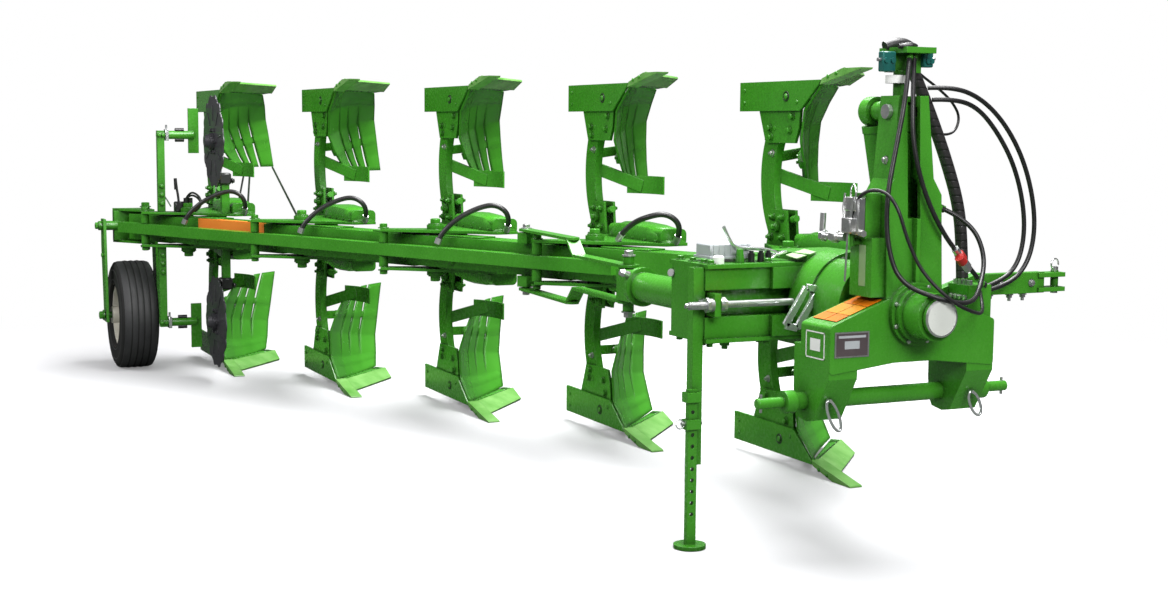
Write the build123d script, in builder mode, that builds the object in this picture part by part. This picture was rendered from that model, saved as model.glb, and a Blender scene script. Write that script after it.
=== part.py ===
from build123d import *
from math import cos, sin, tan, radians
import os

os.makedirs("parts", exist_ok=True)

# Axes: X forward, Y to the left, Z up. The origin is the middle of the lower hitch shaft.
# The plough is its own mirror image above and below the turnover axis.
TURN_Z = 293.0
GROUND_Z = -560.0

# Furrow pattern
BODIES = 5
BODY_SPACING = 1050.0
BEAM_ANGLE = 22.743
FIRST_BODY_X = -1840.0
FIRST_BODY_Y = 510.0
PITCH_X = -BODY_SPACING * cos(radians(BEAM_ANGLE))
PITCH_Y = -BODY_SPACING * sin(radians(BEAM_ANGLE))

# Main beam and control rail, placed by the distance along and across the beam
BEAM_ACROSS = -510.0
BEAM_SIZE = 150.0
BEAM_WALL = 12.0
BEAM_FRONT = -720.0
PIVOT_ALONG = -620.0
PIVOT_R = 30.0
PIVOT_CLEAR = 0.3
RAIL_ACROSS = -655.0
RAIL_SIZE = 60.0
RAIL_FRONT = 180.0
RAIL_PIN_ALONG = -400.0
CARRIER_ALONG = PIVOT_ALONG + BODY_SPACING * (BODIES - 1) + 440
BEAM_REAR = CARRIER_ALONG + 60
RAIL_REAR = RAIL_PIN_ALONG + BODY_SPACING * (BODIES - 1) + 245
RAIL_PIN_R = 15.0
SLEEVE_R = 23.0
PLATE_GAP = 13.0
PLATE_T = 14.0
PLATE_IN = BEAM_SIZE / 2 + PLATE_GAP
PLATE_OUT = PLATE_IN + PLATE_T

# Lower hitch and headstock
HITCH_SPREAD = 825.0
HITCH_PIN_R = 18.2
HITCH_PIN_L = 101.0
HITCH_SHAFT_R = 30.0
HITCH_COLLAR_R = 38.0
HITCH_COLLAR_L = 40.0
COLLAR_GAP = 40.5
BRACKET_HALF_Y = HITCH_SPREAD / 2 - HITCH_COLLAR_L - COLLAR_GAP
BRACKET_FRONT = 150.0
BRACKET_REAR = -20.0
BRACKET_BOTTOM = 104.0
BRACKET_SHOULDER = 262.0
BRACKET_CROWN = 345.0
CROWN_HALF_Y = 105.0
ARCH_HALF_Y = 78.0
ARCH_TOP = 133.0
BRACKET_ROUND = 14.0
LEG_W = 110.0
HUB_R = 78.0
HUB_REAR = -35.0
HUB_FRONT = 272.0
HUB_RINGS = [(105.0, 168.0), (92.0, 186.0)]  # radius, and how far forward each ring reaches
CAP_R = 62.0
AXLE_R = 55.0
TOP_LINK_Z = 958.0
TOP_LINK_X = 62.0
MAST_HOLES = [(70.0, 799.0, 13.0)]  # x, z and radius of the lower holes
MAST_T = 16.0
# Levels of the mast: z, rear and front x, and half width
MAST_LEVELS = [
    (290.0, 0.0, 148.0, 112.0),
    (684.0, 5.0, 128.0, 112.0),
    (738.0, 6.0, 125.0, 80.0),
    (1010.0, 12.0, 112.0, 60.0),
]
TOWER_TOP = MAST_LEVELS[-1][0]
SLOT_HALF = 25.0
SLOT_BOTTOM = 607.0
ARM_X = -50.0
ARM_Z = 358.0
ARM_REACH = 790.0
MANIFOLD_Z = 372.0
HOLDER_X = 36.0
HOLDER_Z0 = 1095.0
HOLDER_Z1 = 1158.0
HOLDER_ROOF = 1150.0
TOP_LINK_R = 16.2

# Turnover cylinder
CYL_X = -110.0
CYL_PIVOT_Z = 960.0
CRANK_R = 130.0
CYL_PIN_R = 20.0
BARREL_R = 45.0
BARREL_L = 470.0
ROD_R = 22.0
EYE_R = 42.0
EYE_T = 44.0
TOP_EYE_R = 50.0

# Swing frame
FLANGE_R = 170.0
FLANGE_X0 = -75.0
FLANGE_X1 = -45.0
DRUM_Y = -62.0
CASTING_R = 178.0
CASTING_X0 = -345.0
CASTING_X1 = -215.0
BOX_FRONT = -355.0
BOX_REAR = -600.0
BOX_RIGHT = -510.0
BOX_LEFT = 150.0
BOX_HALF = 122.0
BAR_H = 75.0
TUBE_Y = -430.0
TUBE_R = 57.0
TUBE_REAR = -975.0
TUBE_FRONT = -500.0
POST_X = -1110.0
POST_Y = -425.0

SPINDLE_X = BOX_FRONT + 33
SPINDLE_R = 13.0
SPINDLE_RIGHT = -593.0
SPINDLE_LEFT = -62.0
BOSS_R = 42.0

# Stand
STAND_X = -383.0
STAND_Y = -532.0
STAND_LEG_X = -350.0
STAND_LEG_Y = -560.0

# Rear wheel, placed from the carrier's pivot on the beam
ARM_AXIS_BACK = 124.7
WHEEL_BACK = 79.7
WHEEL_OUT = 75.5
TYRE_R = 320.0
TYRE_W = 215.0
RIM_R = 190.0


def along(s, t, z=0.0):
    """Point at a distance s along the beam and t across it, counted from the first body."""
    a = radians(BEAM_ANGLE)
    x = FIRST_BODY_X - s * cos(a) - t * sin(a)
    y = FIRST_BODY_Y - s * sin(a) + t * cos(a)
    return Vector(x, y, TURN_Z + z)


def bar(p, q, width, height, mode=Mode.ADD):
    """Straight square-cut bar from p to q, height measured nearest to Z."""
    p = Vector(*p)
    q = Vector(*q)
    run = q - p
    side = Vector(0, 0, 1).cross(run)
    if side.length < 1e-6:
        side = Vector(0, 1, 0)
    with BuildSketch(Plane(origin=p, x_dir=side, z_dir=run)) as section:
        Rectangle(width, height)
    extrude(section.sketch, amount=run.length, mode=mode)


def rod(p, q, radius, mode=Mode.ADD):
    """Round bar from p to q."""
    p = Vector(*p)
    q = Vector(*q)
    with BuildSketch(Plane(origin=p, z_dir=q - p)) as section:
        Circle(radius)
    extrude(section.sketch, amount=(q - p).length, mode=mode)


def plate_xz(points, y0, y1):
    """Flat plate from an outline in X and Z, between two Y values."""
    with BuildSketch(Plane.XZ.offset(-y1)) as section:
        with BuildLine():
            Polyline(*points, close=True)
        make_face()
    extrude(section.sketch, amount=y1 - y0)


def plate_xy(points, z0, z1):
    """Flat plate from an outline in X and Y, between two heights."""
    with BuildSketch(Plane.XY.offset(z0)) as section:
        with BuildLine():
            Polyline(*points, close=True)
        make_face()
    extrude(section.sketch, amount=z1 - z0)


def block(x0, x1, y0, y1, z0, z1, mode=Mode.ADD):
    """Box between two corners."""
    with Locations(((x0 + x1) / 2, (y0 + y1) / 2, (z0 + z1) / 2)):
        Box(x1 - x0, y1 - y0, z1 - z0, mode=mode)


def quad(points):
    """Planar four-sided face."""
    return Face(Wire.make_polygon([Vector(*p) for p in points], close=True))


MIRROR = Plane(origin=(0, 0, TURN_Z), z_dir=(0, 0, 1))
PIVOT = along(PIVOT_ALONG, BEAM_ACROSS)
RAIL_PIN = along(RAIL_PIN_ALONG, RAIL_ACROSS)
BX = FIRST_BODY_X
BY = FIRST_BODY_Y

# Hoses between the holder on the mast and the block on the left shoulder
# Columns: radius, the fitting's length at the start and at the end, then the corners of the route
# Straight runs join by tangent arcs
HOSES = {
    "hose_bundle": (21.0, 30, 30, [(-4, 58, 1136), (-4, 100, 1060), (-4, 165, 935), (-2, 230, 790), (0, 285, 640),
                                   (5, 300, 500), (12, 300, 390)]),
    "hose_outer": (8.0, 0, 28, [(7.7, 134.4, 1039.8), (46, 210, 1044), (46, 325, 1010), (45, 430, 930),
                                (42, 520, 810), (40, 575, 670), (40, 590, 540), (40, 560, 430), (40, 480, 362),
                                (42, 380, 345)]),
    "hose_inner": (8.0, 0, 28, [(5.3, 156.4, 1000.4), (33, 231, 1004), (26, 335, 975), (18, 430, 890),
                                (12, 510, 780), (12, 556, 650), (12, 568, 530), (12, 540, 425), (14, 465, 372),
                                (18, 380, 352)]),
    "hose_upper": (4.6, 30, 0, [(-36, 78, 1128), (-36, 130, 1088), (-36, 200, 1048), (-36, 270.7, 998.1),
                                (-34, 307.7, 941.1), (-31.3, 276.8, 880.5), (-10.9, 212.2, 883.9)]),
    "hose_loop": (8.0, 40, 22, [(85, -2, 1130), (148, -58, 1010), (155, -95, 850), (170, -140, 680),
                                (180, -140, 520), (215, -110, 400), (314, -10, 352), (302, 110, 335),
                                (215, 215, 375), (145, 290, 480), (85, 270, 590), (45, 190, 630)]),
    "hose_red": (8.0, 40, 62, [(72, 26, 1132), (122, -12, 1010), (145, -25, 850), (155, 25, 680), (165, 100, 550),
                               (150, 180, 480), (105, 290, 400)]),
    "hose_valve": (6.0, 45, 28, [(60, -195, 560), (70, -205, 640), (112, -190, 700), (187, -160, 705),
                                 (235, -140, 650), (250, -115, 550), (275, -70, 440), (330, 15, 345),
                                 (322, 120, 305), (245, 205, 300), (165, 262, 335), (110, 300, 350)]),
}
BEND_SHARE = 0.45
FITTING_WALL = 3.0


def bend_radius(before, corner, after):
    """Largest arc that keeps a straight piece between two bends."""
    come = corner - before
    go = after - corner
    half_turn = radians(come.get_angle(go)) / 2
    return BEND_SHARE * min(come.length, go.length) / tan(half_turn)


# Headstock
def mast_corner(i, front, side):
    z, x_rear, x_front, half = MAST_LEVELS[i]
    return Vector(x_front if front else x_rear, side * half, z)


def mast_section(i, front, side, depth_x, depth_y):
    """Rectangle at level i that reaches inward from one corner of the mast."""
    c = mast_corner(i, front, side)
    x_in = c.X - depth_x if front else c.X + depth_x
    y_in = c.Y - side * depth_y
    return quad([c, (x_in, c.Y, c.Z), (x_in, y_in, c.Z), (c.X, y_in, c.Z)])


with BuildPart() as headstock_frame:
    # arched cross box, its two hitch legs and the hub through it
    with BuildSketch(Plane.YZ.offset(BRACKET_REAR)) as arch:
        with BuildLine():
            Polyline((-BRACKET_HALF_Y, BRACKET_BOTTOM), (-BRACKET_HALF_Y, BRACKET_SHOULDER),
                     (-CROWN_HALF_Y, BRACKET_CROWN), (CROWN_HALF_Y, BRACKET_CROWN),
                     (BRACKET_HALF_Y, BRACKET_SHOULDER), (BRACKET_HALF_Y, BRACKET_BOTTOM),
                     (ARCH_HALF_Y, ARCH_TOP), (-ARCH_HALF_Y, ARCH_TOP), close=True)
        make_face()
        fillet(arch.vertices(), BRACKET_ROUND)
    extrude(arch.sketch, amount=BRACKET_FRONT - BRACKET_REAR)
    for side in (-1, 1):
        y_out = side * BRACKET_HALF_Y
        y_in = side * (BRACKET_HALF_Y - LEG_W)
        plate_xz([(-60, 190), (BRACKET_FRONT - 2, 190), (BRACKET_FRONT - 2, 88), (62, -58), (20, -66), (-35, -58),
                  (-52, -30), (-60, 40)], min(y_out, y_in), max(y_out, y_in))
        y_a, y_b = sorted((side * (BRACKET_HALF_Y - 30), side * (BRACKET_HALF_Y - LEG_W + 22)))
        block(-80, 10, y_a, y_b, -80, 150, mode=Mode.SUBTRACT)
    # mast: two cheeks, a front plate each side of the slot, and a rear web
    for i in range(len(MAST_LEVELS) - 1):
        z, x_rear, x_front, half = MAST_LEVELS[i]
        z_up, rear_up, front_up, half_up = MAST_LEVELS[i + 1]
        for side in (-1, 1):
            loft([mast_section(i, True, side, x_front - x_rear, MAST_T),
                  mast_section(i + 1, True, side, front_up - rear_up, MAST_T)], ruled=True)
            for front in (False, True):
                loft([mast_section(i, front, side, MAST_T, half - 1), mast_section(i + 1, front, side, MAST_T, half_up - 1)],
                     ruled=True)
    block(-30, 200, -SLOT_HALF, SLOT_HALF, SLOT_BOTTOM, TOWER_TOP + 10, mode=Mode.SUBTRACT)
    block(60, 160, -8, 8, BRACKET_CROWN - 20, SLOT_BOTTOM + 1)
    z_top, x_rear, x_front, half = MAST_LEVELS[-1]
    block(x_rear, x_rear + 34, -half + 1, half - 1, z_top - 20, z_top)
    block(x_rear, x_rear + MAST_T, -half + 1, half - 1, CYL_PIVOT_Z - 70, z_top)
    rod((HUB_REAR, 0, TURN_Z), (HUB_FRONT, 0, TURN_Z), HUB_R)
    for radius, reach in HUB_RINGS:
        rod((BRACKET_FRONT - 10, 0, TURN_Z), (reach, 0, TURN_Z), radius)
    rod((HUB_REAR - 5, 0, TURN_Z), (HUB_FRONT + 5, 0, TURN_Z), AXLE_R + PIVOT_CLEAR, mode=Mode.SUBTRACT)
    rod((TOP_LINK_X, -200, TOP_LINK_Z), (TOP_LINK_X, 200, TOP_LINK_Z), TOP_LINK_R, mode=Mode.SUBTRACT)
    for x, z, radius in MAST_HOLES:
        rod((x, -200, z), (x, 200, z), radius, mode=Mode.SUBTRACT)
    rod((0, -400, 0), (0, 400, 0), HITCH_SHAFT_R + 0.2, mode=Mode.SUBTRACT)
    # pivot of the turnover cylinder behind the mast
    rod((x_rear + 2, 0, CYL_PIVOT_Z), (CYL_X + EYE_T / 2 + 4, 0, CYL_PIVOT_Z), 34)
    rod((x_rear, 0, CYL_PIVOT_Z), (CYL_X - EYE_T / 2 - 6, 0, CYL_PIVOT_Z), CYL_PIN_R)
    # post on the mast with the holder of the parked hoses
    rod((HOLDER_X, 0, z_top - 5), (HOLDER_X, 0, HOLDER_Z0), 24)
    rod((HOLDER_X, -18, z_top + 42), (HOLDER_X, -18, z_top + 66), 34)
    block(HOLDER_X - 6, HOLDER_X + 6, -62, 78, HOLDER_Z0 - 8, HOLDER_Z1)
    # forked arm on the left shoulder, and the block that the hoses end in
    bar((ARM_X + 20, 210, 300), (ARM_X + 5, 420, ARM_Z), 40, 90)
    bar((ARM_X + 5, 400, ARM_Z), (ARM_X, ARM_REACH - 90, ARM_Z), 40, 74)
    for dz in (-26, 26):
        bar((ARM_X, ARM_REACH - 120, ARM_Z + dz), (ARM_X, ARM_REACH, ARM_Z + dz), 56, 16)
    rod((ARM_X, ARM_REACH - 26, ARM_Z - 36), (ARM_X, ARM_REACH - 26, ARM_Z + 40), 14)
    block(-15, 95, 262, 360, BRACKET_SHOULDER - 20, MANIFOLD_Z)
    # roof of the hose holder, and a fitting at each end of a hose
    block(-48, 104, -28, 92, HOLDER_ROOF, HOLDER_ROOF + 20)
    for radius, start_fit, end_fit, corners in HOSES.values():
        first, second, *_ = [Vector(*corner) for corner in corners]
        *_, before_last, last = [Vector(*corner) for corner in corners]
        if start_fit:
            rod(first, first + (first - second).normalized() * start_fit, radius + FITTING_WALL)
        if end_fit:
            rod(last, last + (last - before_last).normalized() * end_fit, radius + FITTING_WALL)
    rod((45, 100, 634), (40, 176, 637), 13)
    # valve box on the right cheek
    block(10, 130, -165, -100, 350, 545)
    block(30, 100, -172, -100, 540, 690)
    rod((57, -192, 530), (57, -150, 530), 12)
headstock_frame.part.label = "headstock_frame"
export_step(headstock_frame.part, "parts/headstock_frame.step")

with BuildPart() as hitch_shaft:
    shoulder = HITCH_SPREAD / 2
    rod((0, -shoulder, 0), (0, shoulder, 0), HITCH_SHAFT_R)
    for side in (-1, 1):
        rod((0, side * (shoulder - HITCH_COLLAR_L), 0), (0, side * shoulder, 0), HITCH_COLLAR_R)
        rod((0, side * shoulder, 0), (0, side * (shoulder + HITCH_PIN_L), 0), HITCH_PIN_R)
    chamfer(hitch_shaft.faces().sort_by(Axis.Y)[0].edges(), 4)
    chamfer(hitch_shaft.faces().sort_by(Axis.Y)[-1].edges(), 4)
hitch_shaft.part.label = "hitch_shaft"
export_step(hitch_shaft.part, "parts/hitch_shaft.step")

# Turnover cylinder
crank_pin = Vector(CYL_X, CRANK_R, TURN_Z)
cyl_top = Vector(CYL_X, 0, CYL_PIVOT_Z)
cyl_dir = (crank_pin - cyl_top).normalized()

with BuildPart() as turnover_barrel:
    p0 = cyl_top + cyl_dir * 46
    p1 = cyl_top + cyl_dir * BARREL_L
    rod(p0, p1, BARREL_R)
    rod(cyl_top, p0 + cyl_dir, ROD_R)
    rod(cyl_top - Vector(EYE_T / 2, 0, 0), cyl_top + Vector(EYE_T / 2, 0, 0), TOP_EYE_R)
    rod(p1 - cyl_dir * 28, p1, BARREL_R + 5)
    rod(p0, p0 + cyl_dir * 24, BARREL_R + 3)
    rod(cyl_top - Vector(EYE_T, 0, 0), cyl_top + Vector(EYE_T, 0, 0), CYL_PIN_R + PIVOT_CLEAR, mode=Mode.SUBTRACT)
    rod(cyl_top + cyl_dir * 60, p1 + cyl_dir, ROD_R + 0.5, mode=Mode.SUBTRACT)
turnover_barrel.part.label = "turnover_barrel"
export_step(turnover_barrel.part, "parts/turnover_barrel.step")

with BuildPart() as turnover_rod:
    rod(cyl_top + cyl_dir * 230, crank_pin - cyl_dir * 20, ROD_R)
    rod(crank_pin - Vector(EYE_T / 2, 0, 0), crank_pin + Vector(EYE_T / 2, 0, 0), EYE_R)
    rod(crank_pin - Vector(EYE_T / 2 + 8, 0, 0), crank_pin, CYL_PIN_R)
turnover_rod.part.label = "turnover_rod"
export_step(turnover_rod.part, "parts/turnover_rod.step")

# Swing frame
with BuildPart() as swing_frame:
    # axle through the headstock's hub, crank flange, and the casting behind it
    rod((FLANGE_X1, 0, TURN_Z), (HUB_FRONT + 4, 0, TURN_Z), AXLE_R)
    rod((HUB_FRONT + 3, 0, TURN_Z), (HUB_FRONT + 20, 0, TURN_Z), CAP_R)
    rod((FLANGE_X0, 0, TURN_Z), (FLANGE_X1, 0, TURN_Z), FLANGE_R)
    rod((FLANGE_X0 + 5, CRANK_R, TURN_Z), (CYL_X + EYE_T / 2 + PIVOT_CLEAR, CRANK_R, TURN_Z), EYE_R - 4)
    with BuildSketch(Plane.YZ.offset(CASTING_X1 - 5)) as drum:
        with Locations((0, TURN_Z)):
            Circle(FLANGE_R)
        with Locations((DRUM_Y + FLANGE_R, TURN_Z)):
            Rectangle(2 * FLANGE_R, 2 * FLANGE_R, mode=Mode.SUBTRACT)
    extrude(drum.sketch, amount=FLANGE_X0 - CASTING_X1 + 10)
    rod((CASTING_X0, 0, TURN_Z), (CASTING_X1, 0, TURN_Z), CASTING_R)
    block(BOX_REAR, CASTING_X0 + 10, -110, BOX_LEFT, TURN_Z - 165, TURN_Z + 165)
    for up in (-1, 1):
        z0 = TURN_Z + up * (BOX_HALF - BAR_H)
        z1 = TURN_Z + up * BOX_HALF
        z2 = TURN_Z + up * (BOX_HALF + 15)
        block(BOX_REAR, BOX_FRONT, BOX_RIGHT, 0, min(z0, z1), max(z0, z1))
        block(BOX_REAR - 15, BOX_FRONT + 12, BOX_RIGHT, -60, min(z1, z2), max(z1, z2))
        block(BOX_REAR, BOX_FRONT + 22, -250, -60, min(z0, z1), max(z0, z1))
    block(BOX_REAR, BOX_FRONT - 50, BOX_RIGHT, 0, TURN_Z - 60, TURN_Z + 60)
    block(BOX_FRONT - 60, BOX_FRONT + 50, -500, -474, TURN_Z - 40, TURN_Z + 40)
    block(-880, BOX_REAR + 10, 40, 330, TURN_Z - PLATE_OUT - 15, TURN_Z + PLATE_OUT + 15)
    for up in (-1, 1):
        z0 = TURN_Z + up * PLATE_OUT
        z1 = TURN_Z + up * (PLATE_OUT + 15)
        plate_xy([(-870, 60), (-870, 330), (PIVOT.X - 50, PIVOT.Y + 60), (PIVOT.X - 50, PIVOT.Y - 60)],
                 min(z0, z1), max(z0, z1))
    block(STAND_X - 20, STAND_X + 20, STAND_Y - 20, STAND_Y + 20, -271, 420)
    block(STAND_X - 14, STAND_X + 14, STAND_Y - 14, STAND_Y + 14, -272, 421, mode=Mode.SUBTRACT)
    block(STAND_X - 20, STAND_X + 20, STAND_Y + 20, BOX_RIGHT + 5, TURN_Z - 110, TURN_Z + 110)
    for z0 in (-140, -45):
        block(STAND_LEG_X - 20, STAND_LEG_X + 20, STAND_LEG_Y - 28, STAND_LEG_Y + 28, z0, z0 + 35)
    block(STAND_LEG_X - 10.2, STAND_LEG_X + 10.2, STAND_LEG_Y - 18.2, STAND_LEG_Y + 18.2, -200, 100,
          mode=Mode.SUBTRACT)
    rod((BOX_REAR - 20, TUBE_Y, TURN_Z), (TUBE_FRONT + 90, TUBE_Y, TURN_Z), TUBE_R + PIVOT_CLEAR,
        mode=Mode.SUBTRACT)
    rod((PIVOT.X, PIVOT.Y, 0), (PIVOT.X, PIVOT.Y, 600), BOSS_R + 0.2, mode=Mode.SUBTRACT)
    rod((SPINDLE_X, -600, TURN_Z), (SPINDLE_X, SPINDLE_LEFT, TURN_Z), SPINDLE_R + 0.2, mode=Mode.SUBTRACT)
swing_frame.part.label = "swing_frame"
export_step(swing_frame.part, "parts/swing_frame.step")

with BuildPart() as adjust_spindle:
    rod((SPINDLE_X, SPINDLE_RIGHT, TURN_Z), (SPINDLE_X, SPINDLE_LEFT, TURN_Z), SPINDLE_R)
    rod((SPINDLE_X, -516, TURN_Z), (SPINDLE_X, -500.1, TURN_Z), 24)
    rod((SPINDLE_X, -473.9, TURN_Z), (SPINDLE_X, -458, TURN_Z), 24)
adjust_spindle.part.label = "adjust_spindle"
export_step(adjust_spindle.part, "parts/adjust_spindle.step")

with BuildPart() as width_tube:
    rod((TUBE_FRONT, TUBE_Y, TURN_Z), (TUBE_REAR, TUBE_Y, TURN_Z), TUBE_R)
    rod((TUBE_REAR + 5, TUBE_Y, TURN_Z), (TUBE_REAR - 22, TUBE_Y, TURN_Z), TUBE_R + 18)
    block(POST_X, TUBE_REAR - 20, TUBE_Y - 48, TUBE_Y + 48, TURN_Z - 60, TURN_Z + 60)
    rod((POST_X, POST_Y, TURN_Z - 108), (POST_X, POST_Y, TURN_Z + 108), 22)
    rod((POST_X, POST_Y, TURN_Z - 60), (POST_X, POST_Y, TURN_Z + 60), 40)
width_tube.part.label = "width_tube"
export_step(width_tube.part, "parts/width_tube.step")

with BuildPart() as stand_leg:
    block(STAND_LEG_X - 10, STAND_LEG_X + 10, STAND_LEG_Y - 18, STAND_LEG_Y + 18, GROUND_Z + 12, 0)
    rod((STAND_LEG_X, STAND_LEG_Y, GROUND_Z), (STAND_LEG_X, STAND_LEG_Y, GROUND_Z + 14), 57)
    with Locations([(STAND_LEG_X, STAND_LEG_Y, -40 - 40 * i) for i in range(11)]):
        Cylinder(7, 60, rotation=(0, 90, 0), mode=Mode.SUBTRACT)
stand_leg.part.label = "stand_leg"
export_step(stand_leg.part, "parts/stand_leg.step")

with BuildPart() as width_link:
    q = along(770, -600)
    for up in (-1, 1):
        levels = [((POST_X - 25, POST_Y - 3), 64), ((-1640, -392), 64), ((-1720, -385), 130), ((q.X, q.Y), 130)]
        for (a, za), (b, zb) in zip(levels, levels[1:]):
            bar((*a, TURN_Z + up * (za + 6)), (*b, TURN_Z + up * (zb + 6)), 60, 12)
        rod((POST_X, POST_Y, TURN_Z + up * 64), (POST_X, POST_Y, TURN_Z + up * 76), 42)
        rod((q.X, q.Y, TURN_Z + up * 130), (q.X, q.Y, TURN_Z + up * 142), 34)
        for a, za in levels[1:3]:
            rod((*a, TURN_Z + up * za), (*a, TURN_Z + up * (za + 12)), 30)
    rod((POST_X, POST_Y, 0), (POST_X, POST_Y, 600), 22 + PIVOT_CLEAR, mode=Mode.SUBTRACT)
    rod((q.X, q.Y, 0), (q.X, q.Y, 600), 20, mode=Mode.SUBTRACT)
width_link.part.label = "width_link"
export_step(width_link.part, "parts/width_link.step")

# Beam and rail
with BuildPart() as main_beam:
    start = along(BEAM_FRONT, BEAM_ACROSS)
    end = along(BEAM_REAR, BEAM_ACROSS)
    bar(start, end, BEAM_SIZE, BEAM_SIZE)
    inner = BEAM_SIZE - 2 * BEAM_WALL
    bar(along(BEAM_FRONT + 10, BEAM_ACROSS), along(BEAM_REAR - 10, BEAM_ACROSS), inner, inner, Mode.SUBTRACT)
    for k in range(BODIES):
        c = along(PIVOT_ALONG + BODY_SPACING * k, BEAM_ACROSS)
        rod((c.X, c.Y, TURN_Z - BEAM_SIZE / 2), (c.X, c.Y, TURN_Z + BEAM_SIZE / 2), PIVOT_R + 12)
        rod((c.X, c.Y, 0), (c.X, c.Y, 600), PIVOT_R + PIVOT_CLEAR, mode=Mode.SUBTRACT)
    c = along(CARRIER_ALONG, BEAM_ACROSS)
    rod((c.X, c.Y, 0), (c.X, c.Y, 600), 25 + PIVOT_CLEAR, mode=Mode.SUBTRACT)
    for up in (-1, 1):
        a = along(770, BEAM_ACROSS - 20, up * (BEAM_SIZE / 2 + 25))
        b = along(770, -600 - 28, up * (BEAM_SIZE / 2 + 25))
        bar(a, b, 60, 50)
        c = along(770, -600)
        rod((c.X, c.Y, TURN_Z + up * 90), (c.X, c.Y, TURN_Z + up * 150), 14)
main_beam.part.label = "main_beam"
export_step(main_beam.part, "parts/main_beam.step")

with BuildPart() as control_rail:
    bar(along(RAIL_FRONT, RAIL_ACROSS), along(RAIL_REAR, RAIL_ACROSS), RAIL_SIZE, RAIL_SIZE)
    for k in range(1, BODIES):
        c = along(RAIL_PIN_ALONG + BODY_SPACING * k, RAIL_ACROSS)
        rod((c.X, c.Y, 0), (c.X, c.Y, 600), RAIL_PIN_R + PIVOT_CLEAR, mode=Mode.SUBTRACT)
control_rail.part.label = "control_rail"
export_step(control_rail.part, "parts/control_rail.step")

# First body, lower half
# Columns: x and y from the landside's rear end, and z below the turnover axis.
# Each row is one cross line of the moldboard, from its shin to its wing.
SHIN_WING = [
    ((648, 2, 790), (255, 345, 791)),
    ((515, 2, 680), (120, 390, 725)),
    ((485, 8, 545), (0, 425, 640)),
    ((445, 55, 455), (-70, 460, 540)),
    ((370, 115, 390), (-110, 485, 440)),
    ((280, 185, 345), (-130, 505, 340)),
]
SLATS = [(0.0, 0.30), (0.345, 0.50), (0.545, 0.70), (0.745, 1.0)]
# How far the slots between the slats have opened at each cross line
SLOT_OPEN = [0.0, 0.0, 0.5, 0.9, 1.25, 1.5]
SLAT_T = 9.0
HOLLOW = 35.0
RIB_ROWS = (0.75, 3.1)
RIB_W = 45.0
RIB_FRONT = 6.0
RIB_BACK = 24.0
RIB_S = (0.02, 0.15, 0.30, 0.42, 0.545, 0.70, 0.85, 0.985)


def body_point(x, y, depth):
    return Vector(BX + x, BY + y, TURN_Z - depth)


def board_line(i):
    """Shin end, wing end and backward normal of cross line i."""
    shin = body_point(*SHIN_WING[i][0])
    wing = body_point(*SHIN_WING[i][1])
    lo = max(i - 1, 0)
    hi = min(i + 1, len(SHIN_WING) - 1)
    up_run = (body_point(*SHIN_WING[hi][0]) + body_point(*SHIN_WING[hi][1])
              - body_point(*SHIN_WING[lo][0]) - body_point(*SHIN_WING[lo][1]))
    normal = (wing - shin).cross(up_run).normalized()
    if normal.X > 0:
        normal = normal * -1
    return shin, wing, normal


def slat_edges(j, i):
    """Both edges of slat j at cross line i, as shares of the line's length."""
    a, b = SLATS[j]
    if j > 0:
        middle = (SLATS[j - 1][1] + a) / 2
        a = middle + (a - middle) * SLOT_OPEN[i]
    if j < len(SLATS) - 1:
        middle = (b + SLATS[j + 1][0]) / 2
        b = middle + (b - middle) * SLOT_OPEN[i]
    return a, b


def board_section(i, a, b):
    shin, wing, normal = board_line(i)
    corners = []
    for s in (a, b):
        hollow = 4 * HOLLOW * s * (1 - s)
        corners.append(shin + (wing - shin) * s + normal * hollow)
    p, q = corners
    return quad([p, q, q + normal * SLAT_T, p + normal * SLAT_T])


def board_point(row, s, back):
    """Point of the board's face at a row that may lie between two, moved backward."""
    i = min(int(row), len(SHIN_WING) - 2)
    f = row - i
    ends = [board_line(i), board_line(i + 1)]
    points = [shin + (wing - shin) * s + normal * (4 * HOLLOW * s * (1 - s) + back) for shin, wing, normal in ends]
    return points[0] * (1 - f) + points[1] * f


def rib_section(row, s):
    near = board_point(row, s, RIB_FRONT)
    deep = board_point(row, s, RIB_BACK)
    side = (board_point(row + 0.5, s, RIB_FRONT) - board_point(row - 0.5, s, RIB_FRONT)).normalized() * RIB_W / 2
    return quad([near - side, near + side, deep + side, deep - side])


with BuildPart() as share:
    inner = quad([body_point(650, 2, 800), body_point(800, 2, 846), body_point(795, 2, 857), body_point(640, 2, 811)])
    outer = quad([body_point(258, 400, 800), body_point(372, 400, 842), body_point(366, 400, 852),
                  body_point(250, 400, 810)])
    loft([inner, outer], ruled=True)
    plate_xz([(BX + 640, TURN_Z - 790), (BX + 925, TURN_Z - 846), (BX + 930, TURN_Z - 853),
              (BX + 800, TURN_Z - 853), (BX + 655, TURN_Z - 815)], BY - 12, BY + 48)

with BuildPart() as moldboard:
    for j in range(len(SLATS)):
        loft([board_section(i, *slat_edges(j, i)) for i in range(len(SHIN_WING))], ruled=True)
    for row in RIB_ROWS:
        loft([rib_section(row, s) for s in RIB_S], ruled=True)
    add(share.part, mode=Mode.SUBTRACT)

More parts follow.
